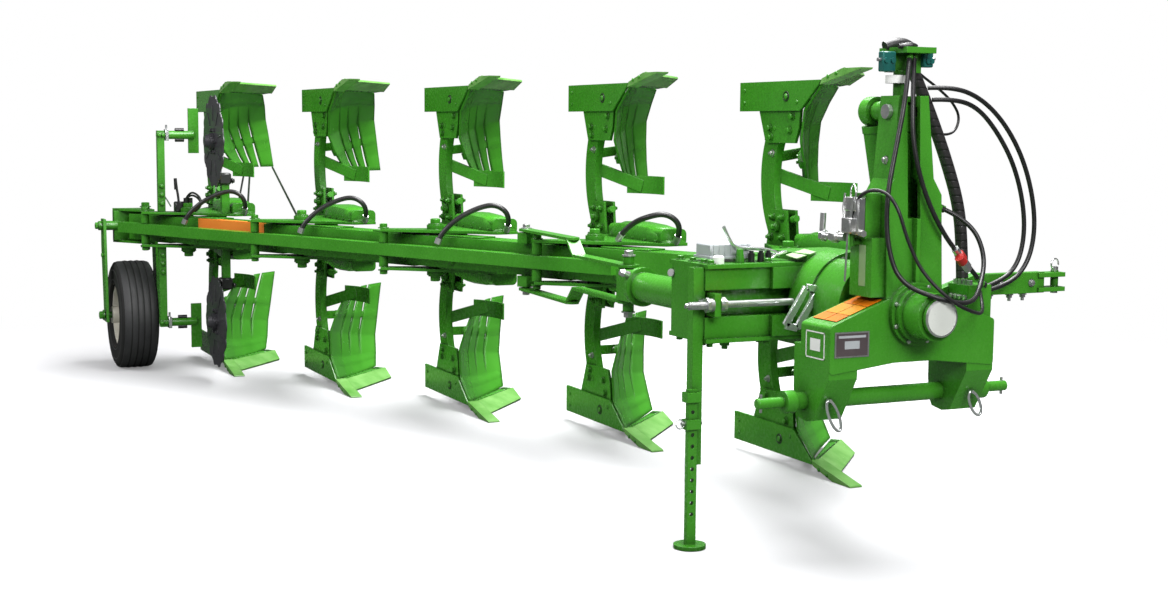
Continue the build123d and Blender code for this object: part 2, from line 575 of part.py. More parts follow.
with BuildPart() as leg:
    # curved stalk, frog plate, deflector arm and deflector
    with BuildSketch(Plane.XZ.offset(-(BY + 50))) as stalk:
        with BuildLine():
            ThreePointArc((BX + 235, TURN_Z - 660), (BX + 150, TURN_Z - 380), (BX + 255, TURN_Z - PLATE_OUT))
            Line((BX + 255, TURN_Z - PLATE_OUT), (BX + 365, TURN_Z - PLATE_OUT))
            ThreePointArc((BX + 365, TURN_Z - PLATE_OUT), (BX + 258, TURN_Z - 380), (BX + 345, TURN_Z - 640))
            Line((BX + 345, TURN_Z - 640), (BX + 235, TURN_Z - 660))
        make_face()
    extrude(stalk.sketch, amount=36)
    plate_xz([(BX + 150, TURN_Z - 790), (BX + 150, TURN_Z - 680), (BX + 205, TURN_Z - 545), (BX + 440, TURN_Z - 545),
              (BX + 470, TURN_Z - 610), (BX + 480, TURN_Z - 690), (BX + 600, TURN_Z - 790)], BY, BY + 14)
    plate_xz([(BX, TURN_Z - 682.8), (BX + 490, TURN_Z - 682.8), (BX + 632, TURN_Z - 792), (BX + 650, TURN_Z - 810.6),
              (BX, TURN_Z - 810.6)], BY - 12, BY)
    bar(body_point(225, 35, 410), body_point(470, 165, 330), 14, 60)
    strut_end = board_point(3.1, 0.62, RIB_BACK - 1)
    bar(body_point(225, 36, 480), strut_end, 12, 45)
    strut_low = board_point(0.75, 0.55, RIB_BACK - 1)
    bar(body_point(300, 10, 700), strut_low, 12, 45)
    with BuildSketch(Plane.XY.offset(TURN_Z - 380)) as board:
        with BuildLine():
            ThreePointArc((BX + 388, BY + 124), (BX + 474, BY + 172), (BX + 640, BY + 190))
            Line((BX + 640, BY + 190), (BX + 640, BY + 182))
            ThreePointArc((BX + 640, BY + 182), (BX + 474, BY + 162), (BX + 394, BY + 118))
            Line((BX + 394, BY + 118), (BX + 388, BY + 124))
        make_face()
    extrude(board.sketch, amount=84)
    add(share.part, mode=Mode.SUBTRACT)
    add(moldboard.part, mode=Mode.SUBTRACT)

# First console
HOUSING_H = 74.0
HOUSING_ROUND = 24.0
with BuildPart() as console:
    for up in (-1, 1):
        z0 = TURN_Z + up * PLATE_IN
        z1 = TURN_Z + up * PLATE_OUT
        z_low, z_high = min(z0, z1), max(z0, z1)
        plate_xy([(BX + 220, BY - 5), (BX + 220, BY + 70), (BX + 1040, BY + 95), (BX + 1060, BY - 20),
                  (PIVOT.X + 60, PIVOT.Y - 40), (RAIL_PIN.X + 25, RAIL_PIN.Y - 25), (RAIL_PIN.X - 28, RAIL_PIN.Y),
                  (PIVOT.X - 90, PIVOT.Y + 20)], z_low, z_high)
        zc = TURN_Z + up * (PLATE_IN + HOUSING_H / 2)
        with BuildSketch(Plane.YZ.offset(BX + 500)) as housing:
            with Locations((BY + 35, zc)):
                RectangleRounded(130, HOUSING_H, HOUSING_ROUND)
        extrude(housing.sketch, amount=520)
        z2 = TURN_Z + up * (PLATE_OUT + 22)
        rod((PIVOT.X, PIVOT.Y, z0), (PIVOT.X, PIVOT.Y, z2), BOSS_R)
        rod((RAIL_PIN.X, RAIL_PIN.Y, TURN_Z + up * (RAIL_SIZE / 2 + 2)), (RAIL_PIN.X, RAIL_PIN.Y, z0), SLEEVE_R)
        for y0, y1 in ((2, 14), (50, 62)):
            za = TURN_Z + up * PLATE_OUT
            zb = TURN_Z + up * 255
            plate_xz([(BX + 225, za), (BX + 400, za), (BX + 380, zb), (BX + 260, zb)], BY + y0, BY + y1)
    block(BX + 220, BX + 430, BY - 5, BY + 70, TURN_Z - PLATE_IN, TURN_Z + PLATE_IN)
    rod((PIVOT.X, PIVOT.Y, TURN_Z - PLATE_IN), (PIVOT.X, PIVOT.Y, TURN_Z + PLATE_IN), PIVOT_R)
    rod((RAIL_PIN.X, RAIL_PIN.Y, TURN_Z - PLATE_IN), (RAIL_PIN.X, RAIL_PIN.Y, TURN_Z + PLATE_IN), RAIL_PIN_R)

for k in range(BODIES):
    shift = Location((PITCH_X * k, PITCH_Y * k, 0))
    with BuildPart() as piece:
        add(console.part.moved(shift))
    piece.part.label = f"console_{k + 1}"
    export_step(piece.part, f"parts/console_{k + 1}.step")
    for name, source in (("leg", leg), ("moldboard", moldboard), ("share", share)):
        with BuildPart() as lower:
            add(source.part.moved(shift))
        lower.part.label = f"{name}_lower_{k + 1}"
        export_step(lower.part, f"parts/{name}_lower_{k + 1}.step")
        with BuildPart() as upper:
            mirror(source.part.moved(shift), about=MIRROR)
        upper.part.label = f"{name}_upper_{k + 1}"
        export_step(upper.part, f"parts/{name}_upper_{k + 1}.step")

# Rear: wheel
CARRIER = along(CARRIER_ALONG, BEAM_ACROSS)
ARM_AXIS_X = CARRIER.X - ARM_AXIS_BACK
WHEEL_X = CARRIER.X - WHEEL_BACK
WHEEL_Y = CARRIER.Y - WHEEL_OUT
HUB_Z = GROUND_Z + TYRE_R
with BuildPart() as wheel_carrier:
    for up in (-1, 1):
        z0 = TURN_Z + up * PLATE_IN
        z1 = TURN_Z + up * PLATE_OUT
        rail_end = along(RAIL_PIN_ALONG + BODY_SPACING * 4 + 190, RAIL_ACROSS)
        plate_xy([(CARRIER.X + 45, CARRIER.Y - 45), (CARRIER.X + 45, CARRIER.Y + 45), (ARM_AXIS_X - 40, CARRIER.Y + 40),
                  (ARM_AXIS_X - 40, WHEEL_Y - 90)], min(z0, z1), max(z0, z1))
    block(ARM_AXIS_X - 45, ARM_AXIS_X + 12, WHEEL_Y - 90, CARRIER.Y + 40, TURN_Z - PLATE_IN, TURN_Z + PLATE_IN)
    rod((CARRIER.X, CARRIER.Y, TURN_Z - PLATE_OUT - 12), (CARRIER.X, CARRIER.Y, TURN_Z + PLATE_OUT + 12), 25)
    rod((ARM_AXIS_X, WHEEL_Y - 175, TURN_Z), (ARM_AXIS_X, WHEEL_Y + 175, TURN_Z), 28)
wheel_carrier.part.label = "wheel_carrier"
export_step(wheel_carrier.part, "parts/wheel_carrier.step")

with BuildPart() as wheel_arm:
    for side in (-1, 1):
        y0 = WHEEL_Y + side * 142
        y1 = WHEEL_Y + side * 158
        plate_xz([(ARM_AXIS_X - 48, TURN_Z + 40), (ARM_AXIS_X + 48, TURN_Z + 40), (ARM_AXIS_X + 60, TURN_Z - 120),
                  (WHEEL_X + 45, HUB_Z - 40), (WHEEL_X - 45, HUB_Z - 40), (ARM_AXIS_X - 55, TURN_Z - 120)],
                 min(y0, y1), max(y0, y1))
    rod((ARM_AXIS_X, WHEEL_Y - 200, TURN_Z), (ARM_AXIS_X, WHEEL_Y + 200, TURN_Z), 28 + PIVOT_CLEAR,
        mode=Mode.SUBTRACT)
    rod((WHEEL_X, WHEEL_Y - 165, HUB_Z), (WHEEL_X, WHEEL_Y + 165, HUB_Z), 20)
wheel_arm.part.label = "wheel_arm"
export_step(wheel_arm.part, "parts/wheel_arm.step")

with BuildPart() as wheel_rim:
    rod((WHEEL_X, WHEEL_Y - 85, HUB_Z), (WHEEL_X, WHEEL_Y + 85, HUB_Z), RIM_R - 1)
    rod((WHEEL_X, WHEEL_Y - 86, HUB_Z), (WHEEL_X, WHEEL_Y - 10, HUB_Z), RIM_R - 18, mode=Mode.SUBTRACT)
    rod((WHEEL_X, WHEEL_Y + 10, HUB_Z), (WHEEL_X, WHEEL_Y + 86, HUB_Z), RIM_R - 18, mode=Mode.SUBTRACT)
    rod((WHEEL_X, WHEEL_Y - 120, HUB_Z), (WHEEL_X, WHEEL_Y + 120, HUB_Z), 50)
    rod((WHEEL_X, WHEEL_Y - 130, HUB_Z), (WHEEL_X, WHEEL_Y + 130, HUB_Z), 20 + PIVOT_CLEAR, mode=Mode.SUBTRACT)
wheel_rim.part.label = "wheel_rim"
export_step(wheel_rim.part, "parts/wheel_rim.step")

with BuildPart() as wheel_tyre:
    rod((WHEEL_X, WHEEL_Y - TYRE_W / 2, HUB_Z), (WHEEL_X, WHEEL_Y + TYRE_W / 2, HUB_Z), TYRE_R)
    fillet(wheel_tyre.edges().filter_by(GeomType.CIRCLE), 40)
    rod((WHEEL_X, WHEEL_Y - TYRE_W, HUB_Z), (WHEEL_X, WHEEL_Y + TYRE_W, HUB_Z), RIM_R, mode=Mode.SUBTRACT)
wheel_tyre.part.label = "wheel_tyre"
export_step(wheel_tyre.part, "parts/wheel_tyre.step")

# Disc coulters and their carriers, behind the last body
COULTER_R = 250.0
COULTER_HUB = 513.0
COULTER_X = CARRIER.X + 650.3
COULTER_Y = CARRIER.Y + 269.5
COULTER_POST_X = COULTER_X - 45
REAR_POST_X = CARRIER.X + 320.3
REAR_POST_Y = CARRIER.Y + 34.5
with BuildPart() as coulter_carriers:
    for sign in (-1, 1):
        hub_z = TURN_Z + sign * COULTER_HUB
        elbow_z = TURN_Z + sign * 300
        z0, z1 = sorted((TURN_Z + sign * PLATE_OUT, TURN_Z + sign * 290))
        block(COULTER_POST_X - 22, COULTER_POST_X + 22, COULTER_Y + 48, COULTER_Y + 92, z0, z1)
        bar((COULTER_POST_X, COULTER_Y + 40, elbow_z), (COULTER_X, COULTER_Y + 40, hub_z), 12, 50)
        bar((COULTER_POST_X, COULTER_Y + 34, elbow_z), (COULTER_POST_X, COULTER_Y + 100, elbow_z), 60, 50)
        rod((COULTER_X, COULTER_Y - 40, hub_z), (COULTER_X, COULTER_Y + 46, hub_z), 14)
        bar((REAR_POST_X, REAR_POST_Y, TURN_Z + sign * PLATE_OUT), (REAR_POST_X, REAR_POST_Y, TURN_Z + sign * 570), 40, 40)
        tip_z = TURN_Z + sign * 545
        rod((REAR_POST_X, REAR_POST_Y - 20, tip_z), (REAR_POST_X, REAR_POST_Y + 190, tip_z), 24)
        z0, z1 = sorted((TURN_Z + sign * 440, TURN_Z + sign * 700))
        block(REAR_POST_X - 6, REAR_POST_X + 6, REAR_POST_Y + 160, REAR_POST_Y + 220, z0, z1)
coulter_carriers.part.label = "coulter_carriers"
export_step(coulter_carriers.part, "parts/coulter_carriers.step")

for name, sign in (("lower", -1), ("upper", 1)):
    hub_z = TURN_Z + sign * COULTER_HUB
    with BuildPart() as disc:
        rod((COULTER_X, COULTER_Y - 3, hub_z), (COULTER_X, COULTER_Y + 3, hub_z), COULTER_R)
        rod((COULTER_X, COULTER_Y - 28, hub_z), (COULTER_X, COULTER_Y + 26, hub_z), 48)
        with BuildSketch(Plane.XZ.offset(-COULTER_Y - 20)) as notch:
            with Locations((COULTER_X, hub_z)):
                with PolarLocations(COULTER_R + 6, 18):
                    Circle(16)
        extrude(notch.sketch, amount=40, mode=Mode.SUBTRACT)
        rod((COULTER_X, COULTER_Y - 60, hub_z), (COULTER_X, COULTER_Y + 60, hub_z), 14 + PIVOT_CLEAR,
            mode=Mode.SUBTRACT)
    disc.part.label = f"coulter_disc_{name}"
    export_step(disc.part, f"parts/coulter_disc_{name}.step")

for name, (radius, start_fit, end_fit, corners) in HOSES.items():
    route = [Vector(*corner) for corner in corners]
    bends = [bend_radius(*route[i - 1:i + 2]) for i in range(1, len(route) - 1)]
    with BuildPart() as hose:
        with BuildLine() as path:
            FilletPolyline(*route, radius=bends)
        with BuildSketch(Plane(origin=route[0], z_dir=route[1] - route[0])):
            Circle(radius)
        sweep(path=path.wires()[0])
    hose.part.label = name
    export_step(hose.part, f"parts/{name}.step")
    print(name, "length", round(path.wires()[0].length), "tightest bend", round(min(bends)))
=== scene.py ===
import math
from functools import partial

import bmesh
import bpy
from mathutils import Matrix, Vector


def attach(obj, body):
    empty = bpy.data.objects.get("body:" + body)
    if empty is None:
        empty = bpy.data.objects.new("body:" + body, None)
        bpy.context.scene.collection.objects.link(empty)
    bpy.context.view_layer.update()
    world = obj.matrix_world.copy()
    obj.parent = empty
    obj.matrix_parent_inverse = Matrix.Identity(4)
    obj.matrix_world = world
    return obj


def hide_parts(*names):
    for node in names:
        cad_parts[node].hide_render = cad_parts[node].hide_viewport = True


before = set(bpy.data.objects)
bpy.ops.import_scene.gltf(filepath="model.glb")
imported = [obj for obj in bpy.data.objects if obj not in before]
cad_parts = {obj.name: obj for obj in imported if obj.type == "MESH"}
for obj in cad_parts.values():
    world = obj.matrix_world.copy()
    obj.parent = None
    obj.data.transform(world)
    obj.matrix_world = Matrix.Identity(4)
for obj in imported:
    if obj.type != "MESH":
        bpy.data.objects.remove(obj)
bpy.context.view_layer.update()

# Driving sizes of the plough, in metres, as in the CAD part
TURN_Z = 0.293
GROUND_Z = -0.560
BODIES = 5
BODY_SPACING = 1.050
BEAM_ANGLE = math.radians(22.743)
FIRST = Vector((-1.840, 0.510, TURN_Z))
BEAM_ACROSS = -0.510
BEAM_SIZE = 0.150
RAIL_ACROSS = -0.655
PIVOT_ALONG = -0.620
LAST_PIVOT = PIVOT_ALONG + BODY_SPACING * (BODIES - 1)
RAIL_PIN_ALONG = -0.400
DISC_RADIUS = 0.250
WHEEL_RADIUS = 0.320
# Turnover axis in millimetres: small pieces have places in millimetres and sizes in metres
AXIS = TURN_Z * 1000
# Directions of the beam: to its rear end, and across it to the left
TO_REAR = Vector((-math.cos(BEAM_ANGLE), -math.sin(BEAM_ANGLE), 0))
TO_LEFT = Vector((-math.sin(BEAM_ANGLE), math.cos(BEAM_ANGLE), 0))
# Directions of the frame
FORWARD, LEFT, UP = Vector((1, 0, 0)), Vector((0, 1, 0)), Vector((0, 0, 1))


def along(s, t, z=0.0):
    """Point at a distance s along the beam and t across it, z above the turnover axis."""
    return FIRST + TO_REAR * s + TO_LEFT * t + UP * z


def mm(x, y, z):
    """Point from millimetres."""
    return Vector((x, y, z)) / 1000


def turns(count, start=0.0):
    """Angles of equal steps round a circle, from a start in degrees."""
    return [math.radians(start + 360 / count * step) for step in range(count)]


def circle(first, second, radius, count, start=0.0):
    """Offsets to equal steps on a circle in the plane of two directions."""
    return [(first * math.cos(turn) + second * math.sin(turn)) * radius for turn in turns(count, start)]


def new_object(name, data):
    obj = bpy.data.objects.new(name, data)
    bpy.context.collection.objects.link(obj)
    return obj


# Camera, fitted to the photograph
CAMERA_AT = Vector((4.4839, -3.2583, 0.8956))
CAMERA_YAW = 0.4412
CAMERA_DOWN = 0.1027
CAMERA_ROLL = 0.0078
CAMERA_LENS = 49.75
SENSOR = 36.0


def make_camera():
    data = bpy.data.cameras.new("camera")
    data.sensor_fit = "HORIZONTAL"
    data.sensor_width = SENSOR
    data.lens = CAMERA_LENS
    data.clip_start = 0.1
    data.clip_end = 100
    camera = new_object("camera", data)
    level = math.cos(CAMERA_DOWN)
    look = Vector((-math.cos(CAMERA_YAW) * level, math.sin(CAMERA_YAW) * level, -math.sin(CAMERA_DOWN)))
    side = look.cross(UP).normalized()
    up = side.cross(look)
    right = side * math.cos(CAMERA_ROLL) + up * math.sin(CAMERA_ROLL)
    up = up * math.cos(CAMERA_ROLL) - side * math.sin(CAMERA_ROLL)
    camera.matrix_world = Matrix.Translation(CAMERA_AT) @ Matrix((right, up, -look)).transposed().to_4x4()
    bpy.context.scene.camera = camera


# Materials
EDGE_SAMPLES = 6
# Reach of the painted shade in corners
CORNER_REACH = 0.07
COAT_ROUGHNESS = 0.12
GRAIN_DEPTH = 0.0004
# Blender's wave texture repeats once over this length at a scale of one
WAVE_LENGTH = math.pi / 10


def new_material(name):
    material = bpy.data.materials.new(name)
    material.use_nodes = True
    nodes = material.node_tree.nodes
    return material, nodes, material.node_tree.links, nodes["Principled BSDF"]


def set_inputs(node, values):
    for name, value in values.items():
        node.inputs[name].default_value = value


def texture(nodes, links, kind, values):
    """Texture node that follows the object's own coordinates."""
    node = nodes.new(kind)
    set_inputs(node, values)
    links.new(nodes.new("ShaderNodeTexCoord").outputs["Object"], node.inputs["Vector"])
    return node


def noise(nodes, links, scale, detail=4.0):
    return texture(nodes, links, "ShaderNodeTexNoise", {"Scale": scale, "Detail": detail}).outputs["Fac"]


def ramp(nodes, links, source, stops):
    node = nodes.new("ShaderNodeValToRGB")
    while len(node.color_ramp.elements) < len(stops):
        node.color_ramp.elements.new(0.5)
    for element, (place, colour) in zip(node.color_ramp.elements, stops):
        element.position = place
        element.color = (*colour, 1)
    links.new(source, node.inputs["Fac"])
    return node


def bump(nodes, links, source, shader, strength, distance, soft=0.0):
    """Fine relief on a shader, over edges that are rounded to the radius soft."""
    node = nodes.new("ShaderNodeBump")
    set_inputs(node, {"Strength": strength, "Distance": distance})
    links.new(source, node.inputs["Height"])
    links.new(node.outputs["Normal"], shader.inputs["Normal"])
    if soft:
        round_edge = nodes.new("ShaderNodeBevel")
        round_edge.samples = EDGE_SAMPLES
        round_edge.inputs["Radius"].default_value = soft
        links.new(round_edge.outputs["Normal"], node.inputs["Normal"])


def paint_corner_shade(nodes, links, colour, shade):
    """The colour, taken down to a share of itself in tight corners: painted shade."""
    corner = nodes.new("ShaderNodeAmbientOcclusion")
    corner.samples = EDGE_SAMPLES
    corner.inputs["Distance"].default_value = CORNER_REACH
    depth = ramp(nodes, links, corner.outputs["AO"], [(0.35, (shade, shade, shade)), (0.95, (1, 1, 1))])
    mix = nodes.new("ShaderNodeMix")
    mix.data_type = "RGBA"
    mix.blend_type = "MULTIPLY"
    mix.inputs["Factor"].default_value = 1.0
    links.new(colour, mix.inputs["A"])
    links.new(depth.outputs["Color"], mix.inputs["B"])
    return mix.outputs["Result"]


def surface(name, low, high, rough, metal=0.0, scale=6.0, coat=0.0, shine=0.5, grain=0.0, grain_scale=300.0,
            rough_span=0.08, soft=0.0, shade=0.0):
    """Material whose colour wanders between two tones, with uneven gloss and a fine grain, and with painted
    shade in its corners where shade is given.
    """
    material, nodes, links, shader = new_material(name)
    colour = ramp(nodes, links, noise(nodes, links, scale), [(0.3, low), (0.7, high)]).outputs["Color"]
    # Painted shade: the colour is darkened in tight corners by ambient occlusion
    if shade:
        colour = paint_corner_shade(nodes, links, colour, shade)
    links.new(colour, shader.inputs["Base Color"])
    gloss = nodes.new("ShaderNodeMapRange")
    set_inputs(gloss, {"To Min": rough - rough_span, "To Max": rough + rough_span})
    links.new(noise(nodes, links, scale * 9), gloss.inputs["Value"])
    links.new(gloss.outputs["Result"], shader.inputs["Roughness"])
    set_inputs(shader, {"Metallic": metal, "Coat Weight": coat, "Coat Roughness": COAT_ROUGHNESS,
                        "Specular IOR Level": shine})
    if grain:
        bump(nodes, links, noise(nodes, links, grain_scale, 2.0), shader, grain, GRAIN_DEPTH, soft)
    return material


def wound(name, dark, light, pitch):
    """Rubber wrap with bands that climb round a hose."""
    material, nodes, links, shader = new_material(name)
    wave = texture(nodes, links, "ShaderNodeTexWave", {"Scale": WAVE_LENGTH / pitch, "Distortion": 0.6})
    wave.bands_direction = "Z"
    wave.wave_profile = "SIN"
    tone = ramp(nodes, links, wave.outputs["Fac"], [(0.05, dark), (0.20, light)])
    links.new(tone.outputs["Color"], shader.inputs["Base Color"])
    shader.inputs["Roughness"].default_value = 0.38
    bump(nodes, links, tone.outputs["Color"], shader, 0.5, 0.06)
    return material


# The shade argument is the share of the colour left in tight corners, as painted shade
MATERIALS = {
    "green": surface("green_paint", (0.042, 0.240, 0.014), (0.056, 0.280, 0.021), 0.27, coat=0.16,
                     shine=0.42, grain=0.02, grain_scale=24, soft=0.004, shade=0.28),
    "board": surface("board_paint", (0.036, 0.215, 0.012), (0.056, 0.275, 0.022), 0.24, scale=3.0,
                     shine=0.25, grain=0.02, grain_scale=20, soft=0.030, shade=0.45),
    "share": surface("share_paint", (0.110, 0.330, 0.055), (0.210, 0.460, 0.125), 0.24, scale=9.0,
                     shine=0.45, grain=0.03, grain_scale=30, soft=0.004, shade=0.5),
    "pale_green": surface("pale_green", (0.20, 0.33, 0.14), (0.26, 0.40, 0.19), 0.50),
    "teal": surface("teal_paint", (0.004, 0.085, 0.075), (0.008, 0.12, 0.10), 0.36, coat=0.2),
    "orange": surface("orange_band", (0.80, 0.20, 0.020), (0.86, 0.25, 0.035), 0.42),
    "yellow": surface("yellow_label", (0.52, 0.20, 0.002), (0.56, 0.23, 0.004), 0.60, shine=0.15),
    "amber": surface("amber_label", (0.52, 0.13, 0.001), (0.56, 0.15, 0.002), 0.60, shine=0.15),
    "plate": surface("blank_plate", (0.06, 0.045, 0.05), (0.09, 0.07, 0.075), 0.35),
    "dark": surface("dark_steel", (0.045, 0.045, 0.052), (0.075, 0.072, 0.082), 0.42, metal=0.35,
                    coat=0.1, grain=0.2),
    "zinc": surface("zinc_plate", (0.55, 0.56, 0.58), (0.72, 0.72, 0.70), 0.30, metal=0.9, scale=20),
    "bright_zinc": surface("bright_zinc", (0.72, 0.74, 0.76), (0.86, 0.87, 0.88), 0.22, metal=0.85,
                           scale=18),
    "chrome": surface("chrome_steel", (0.66, 0.67, 0.68), (0.74, 0.74, 0.75), 0.14, metal=1.0,
                      rough_span=0.05),
    # Painted shade of the beam's bores
    "painted_bore_shade": surface("bore_shade", (0.006, 0.012, 0.005), (0.010, 0.018, 0.008), 0.7),
    "rubber": surface("black_rubber", (0.008, 0.008, 0.009), (0.016, 0.015, 0.016), 0.40, grain=0.3),
    # Painted shade: the tyre's body, between its raised ribs and lines, is darker rubber than they are
    "groove": surface("tyre_groove_shade", (0.006, 0.006, 0.006), (0.012, 0.012, 0.012), 0.75),
    "tyre": surface("tyre_rubber", (0.026, 0.026, 0.028), (0.046, 0.046, 0.048), 0.52, grain=0.5),
    "rim": surface("rim_paint", (0.66, 0.63, 0.55), (0.76, 0.74, 0.67), 0.40, coat=0.1),
    "cap": surface("cap_paint", (0.62, 0.64, 0.60), (0.70, 0.72, 0.68), 0.30, coat=0.3),
    "white": surface("white_plastic", (0.80, 0.80, 0.79), (0.86, 0.86, 0.85), 0.38),
    "red": surface("red_plastic", (0.34, 0.012, 0.010), (0.42, 0.018, 0.014), 0.42),
    "black": surface("black_plastic", (0.010, 0.010, 0.011), (0.02, 0.02, 0.02), 0.34),
    "grey": surface("grey_plastic", (0.34, 0.36, 0.38), (0.42, 0.44, 0.46), 0.45),
    "wrap": wound("hose_wrap", (0.006, 0.006, 0.006), (0.024, 0.022, 0.023), 0.026),
}
NODE_MATERIALS = {
    "wheel_tyre": "groove",
    "wheel_rim": "rim",
    "turnover_rod": "chrome",
    "adjust_spindle": "zinc",
    "coulter_disc_lower": "dark",
    "coulter_disc_upper": "dark",
}
GROUP_MATERIALS = {"hose_": "rubber", "moldboard_": "board", "share_": "share"}


def dress_nodes():
    for name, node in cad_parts.items():
        key = NODE_MATERIALS.get(name, "green")
        for start, group_key in GROUP_MATERIALS.items():
            if name.startswith(start):
                key = group_key
        for held in node.material_slots:
            held.material = MATERIALS[key]


# Small pieces: every kit gathers shapes of one finish on one body into one object
SHARP_ANGLE = math.radians(40)


class Kit:
    def __init__(self, name, finish, body):
        self.name = name
        self.finish = finish
        self.body = body
        self.mesh = bmesh.new()

    def box(self, centre, size, turn=None):
        """Block with narrow chamfers."""
        matrix = Matrix.Translation(centre) @ (turn or Matrix.Identity(4)) @ Matrix.Diagonal((*size, 1))
        made = bmesh.ops.create_cube(self.mesh, size=1, matrix=matrix)
        edges = {edge for corner in made["verts"] for edge in corner.link_edges}
        bmesh.ops.bevel(self.mesh, geom=list(edges), offset=min(size) * 0.12, segments=1, affect="EDGES")

    def beam(self, start, end, width, height, up=UP):
        """Square-cut bar between two points, its height nearest to the up direction."""
        start, end = Vector(start), Vector(end)
        run = (end - start).normalized()
        side = run.cross(up).normalized()
        matrix = Matrix((run, side, side.cross(run))).transposed().to_4x4()
        self.box((start + end) / 2, ((end - start).length, width, height), matrix)

    def rod(self, start, end, radius, sides=20, end_radius=None):
        """Round or six-sided bar between two points, or a cone with an end radius."""
        start, end = Vector(start), Vector(end)
        turn = (end - start).to_track_quat("Z", "Y").to_matrix().to_4x4()
        bmesh.ops.create_cone(self.mesh, cap_ends=True, segments=sides, radius1=radius,
                              radius2=radius if end_radius is None else end_radius,
                              depth=(end - start).length,
                              matrix=Matrix.Translation((start + end) / 2) @ turn)

    def bolt(self, at, out, size, washer=True, stub=0.0):
        """Hexagon head of a width across its corners, with its washer, seated at a point."""
        at, out = Vector(at), Vector(out).normalized()
        seat = at
        if washer:
            seat = at + out * size * 0.12
            self.rod(at, seat, size * 0.68)
        top = seat + out * size * 0.42
        self.rod(seat, top, size / 2, 6)
        self.rod(top, top + out * size * 0.05, size / 2, 6, size * 0.4)
        if stub:
            self.rod(top, top + out * stub, size * 0.27, 14)

    def dome(self, at, out, radius):
        """Low round head."""
        at, out = Vector(at), Vector(out).normalized()
        brow = at + out * radius * 0.35
        self.rod(at, brow, radius, 18, radius * 0.86)
        self.rod(brow, at + out * radius * 0.55, radius * 0.86, 18, radius * 0.45)

    def ring(self, centre, axis, radius, wire):
        """Ring of round wire about an axis."""
        centre, axis = Vector(centre), Vector(axis).normalized()
        first = axis.orthogonal().normalized()
        second = axis.cross(first)
        self.tube([centre + off for off in circle(first, second, radius, 28)], wire, closed=True)

    def tube(self, points, radius, closed=False, sides=10):
        """Round wire through points."""
        points = [Vector(point) for point in points]
        rings = []
        normal = None
        for i, point in enumerate(points):
            before = points[i - 1] if (i or closed) else point
            after = points[(i + 1) % len(points)] if (i < len(points) - 1 or closed) else point
            run = (after - before).normalized()
            if normal is None:
                normal = run.orthogonal().normalized()
            normal = (normal - run * normal.dot(run)).normalized()
            offsets = circle(normal, run.cross(normal), radius, sides)
            rings.append([self.mesh.verts.new(point + off) for off in offsets])
        pairs = list(zip(rings, rings[1:])) + ([(rings[-1], rings[0])] if closed else [])
        for one, two in pairs:
            for j in range(sides):
                k = (j + 1) % sides
                self.mesh.faces.new((one[j], one[k], two[k], two[j]))
        if not closed:
            self.mesh.faces.new(rings[0][::-1])
            self.mesh.faces.new(rings[-1])

    def sheet(self, corners, thick):
        """Flat plate from its corners, thickened by a vector."""
        thick = Vector(thick)
        low = [self.mesh.verts.new(Vector(corner)) for corner in corners]
        high = [self.mesh.verts.new(Vector(corner) + thick) for corner in corners]
        self.mesh.faces.new(low[::-1])
        self.mesh.faces.new(high)
        for i in range(len(corners)):
            k = (i + 1) % len(corners)
            self.mesh.faces.new((low[i], low[k], high[k], high[i]))

    def lathe(self, centre, axis, profile, sides=48):
        """Ring swept from a closed profile of (radius, along) pairs round an axis."""
        centre, axis = Vector(centre), Vector(axis).normalized()
        first = axis.orthogonal().normalized()
        second = axis.cross(first)
        rows = []
        for spoke in circle(first, second, 1, sides):
            rows.append([self.mesh.verts.new(centre + spoke * radius + axis * rise)
                         for radius, rise in profile])
        for i in range(sides):
            one, two = rows[i], rows[(i + 1) % sides]
            for j in range(len(profile)):
                k = (j + 1) % len(profile)
                self.mesh.faces.new((one[j], one[k], two[k], two[j]))

    def build(self):
        bmesh.ops.recalc_face_normals(self.mesh, faces=self.mesh.faces)
        data = bpy.data.meshes.new(self.name)
        self.mesh.to_mesh(data)
        self.mesh.free()
        data.materials.append(MATERIALS[self.finish])
        data.polygons.foreach_set("use_smooth", [True] * len(data.polygons))
        data.set_sharp_from_angle(angle=SHARP_ANGLE)
        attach(new_object(self.name, data), self.body)


KITS = {}
BEND_STEPS = 8


def kit(name, finish, body):
    key = f"{name}_{body}"
    if key not in KITS:
        KITS[key] = Kit(key, finish, body)
    return KITS[key]


def bend_through(corners):
    """Smooth line through the runs of a polyline: a quadratic curve between their middles."""
    corners = [Vector(corner) for corner in corners]
    points = [corners[0]]
    mids = [(start + end) / 2 for start, end in zip(corners, corners[1:])]
    mids[0], mids[-1] = corners[0], corners[-1]
    for start, corner, end in zip(mids, corners[1:], mids[1:]):
        for step in range(1, BEND_STEPS + 1):
            share = step / BEND_STEPS
            points.append(start * (1 - share) ** 2 + corner * 2 * share * (1 - share) + end * share * share)
    return points


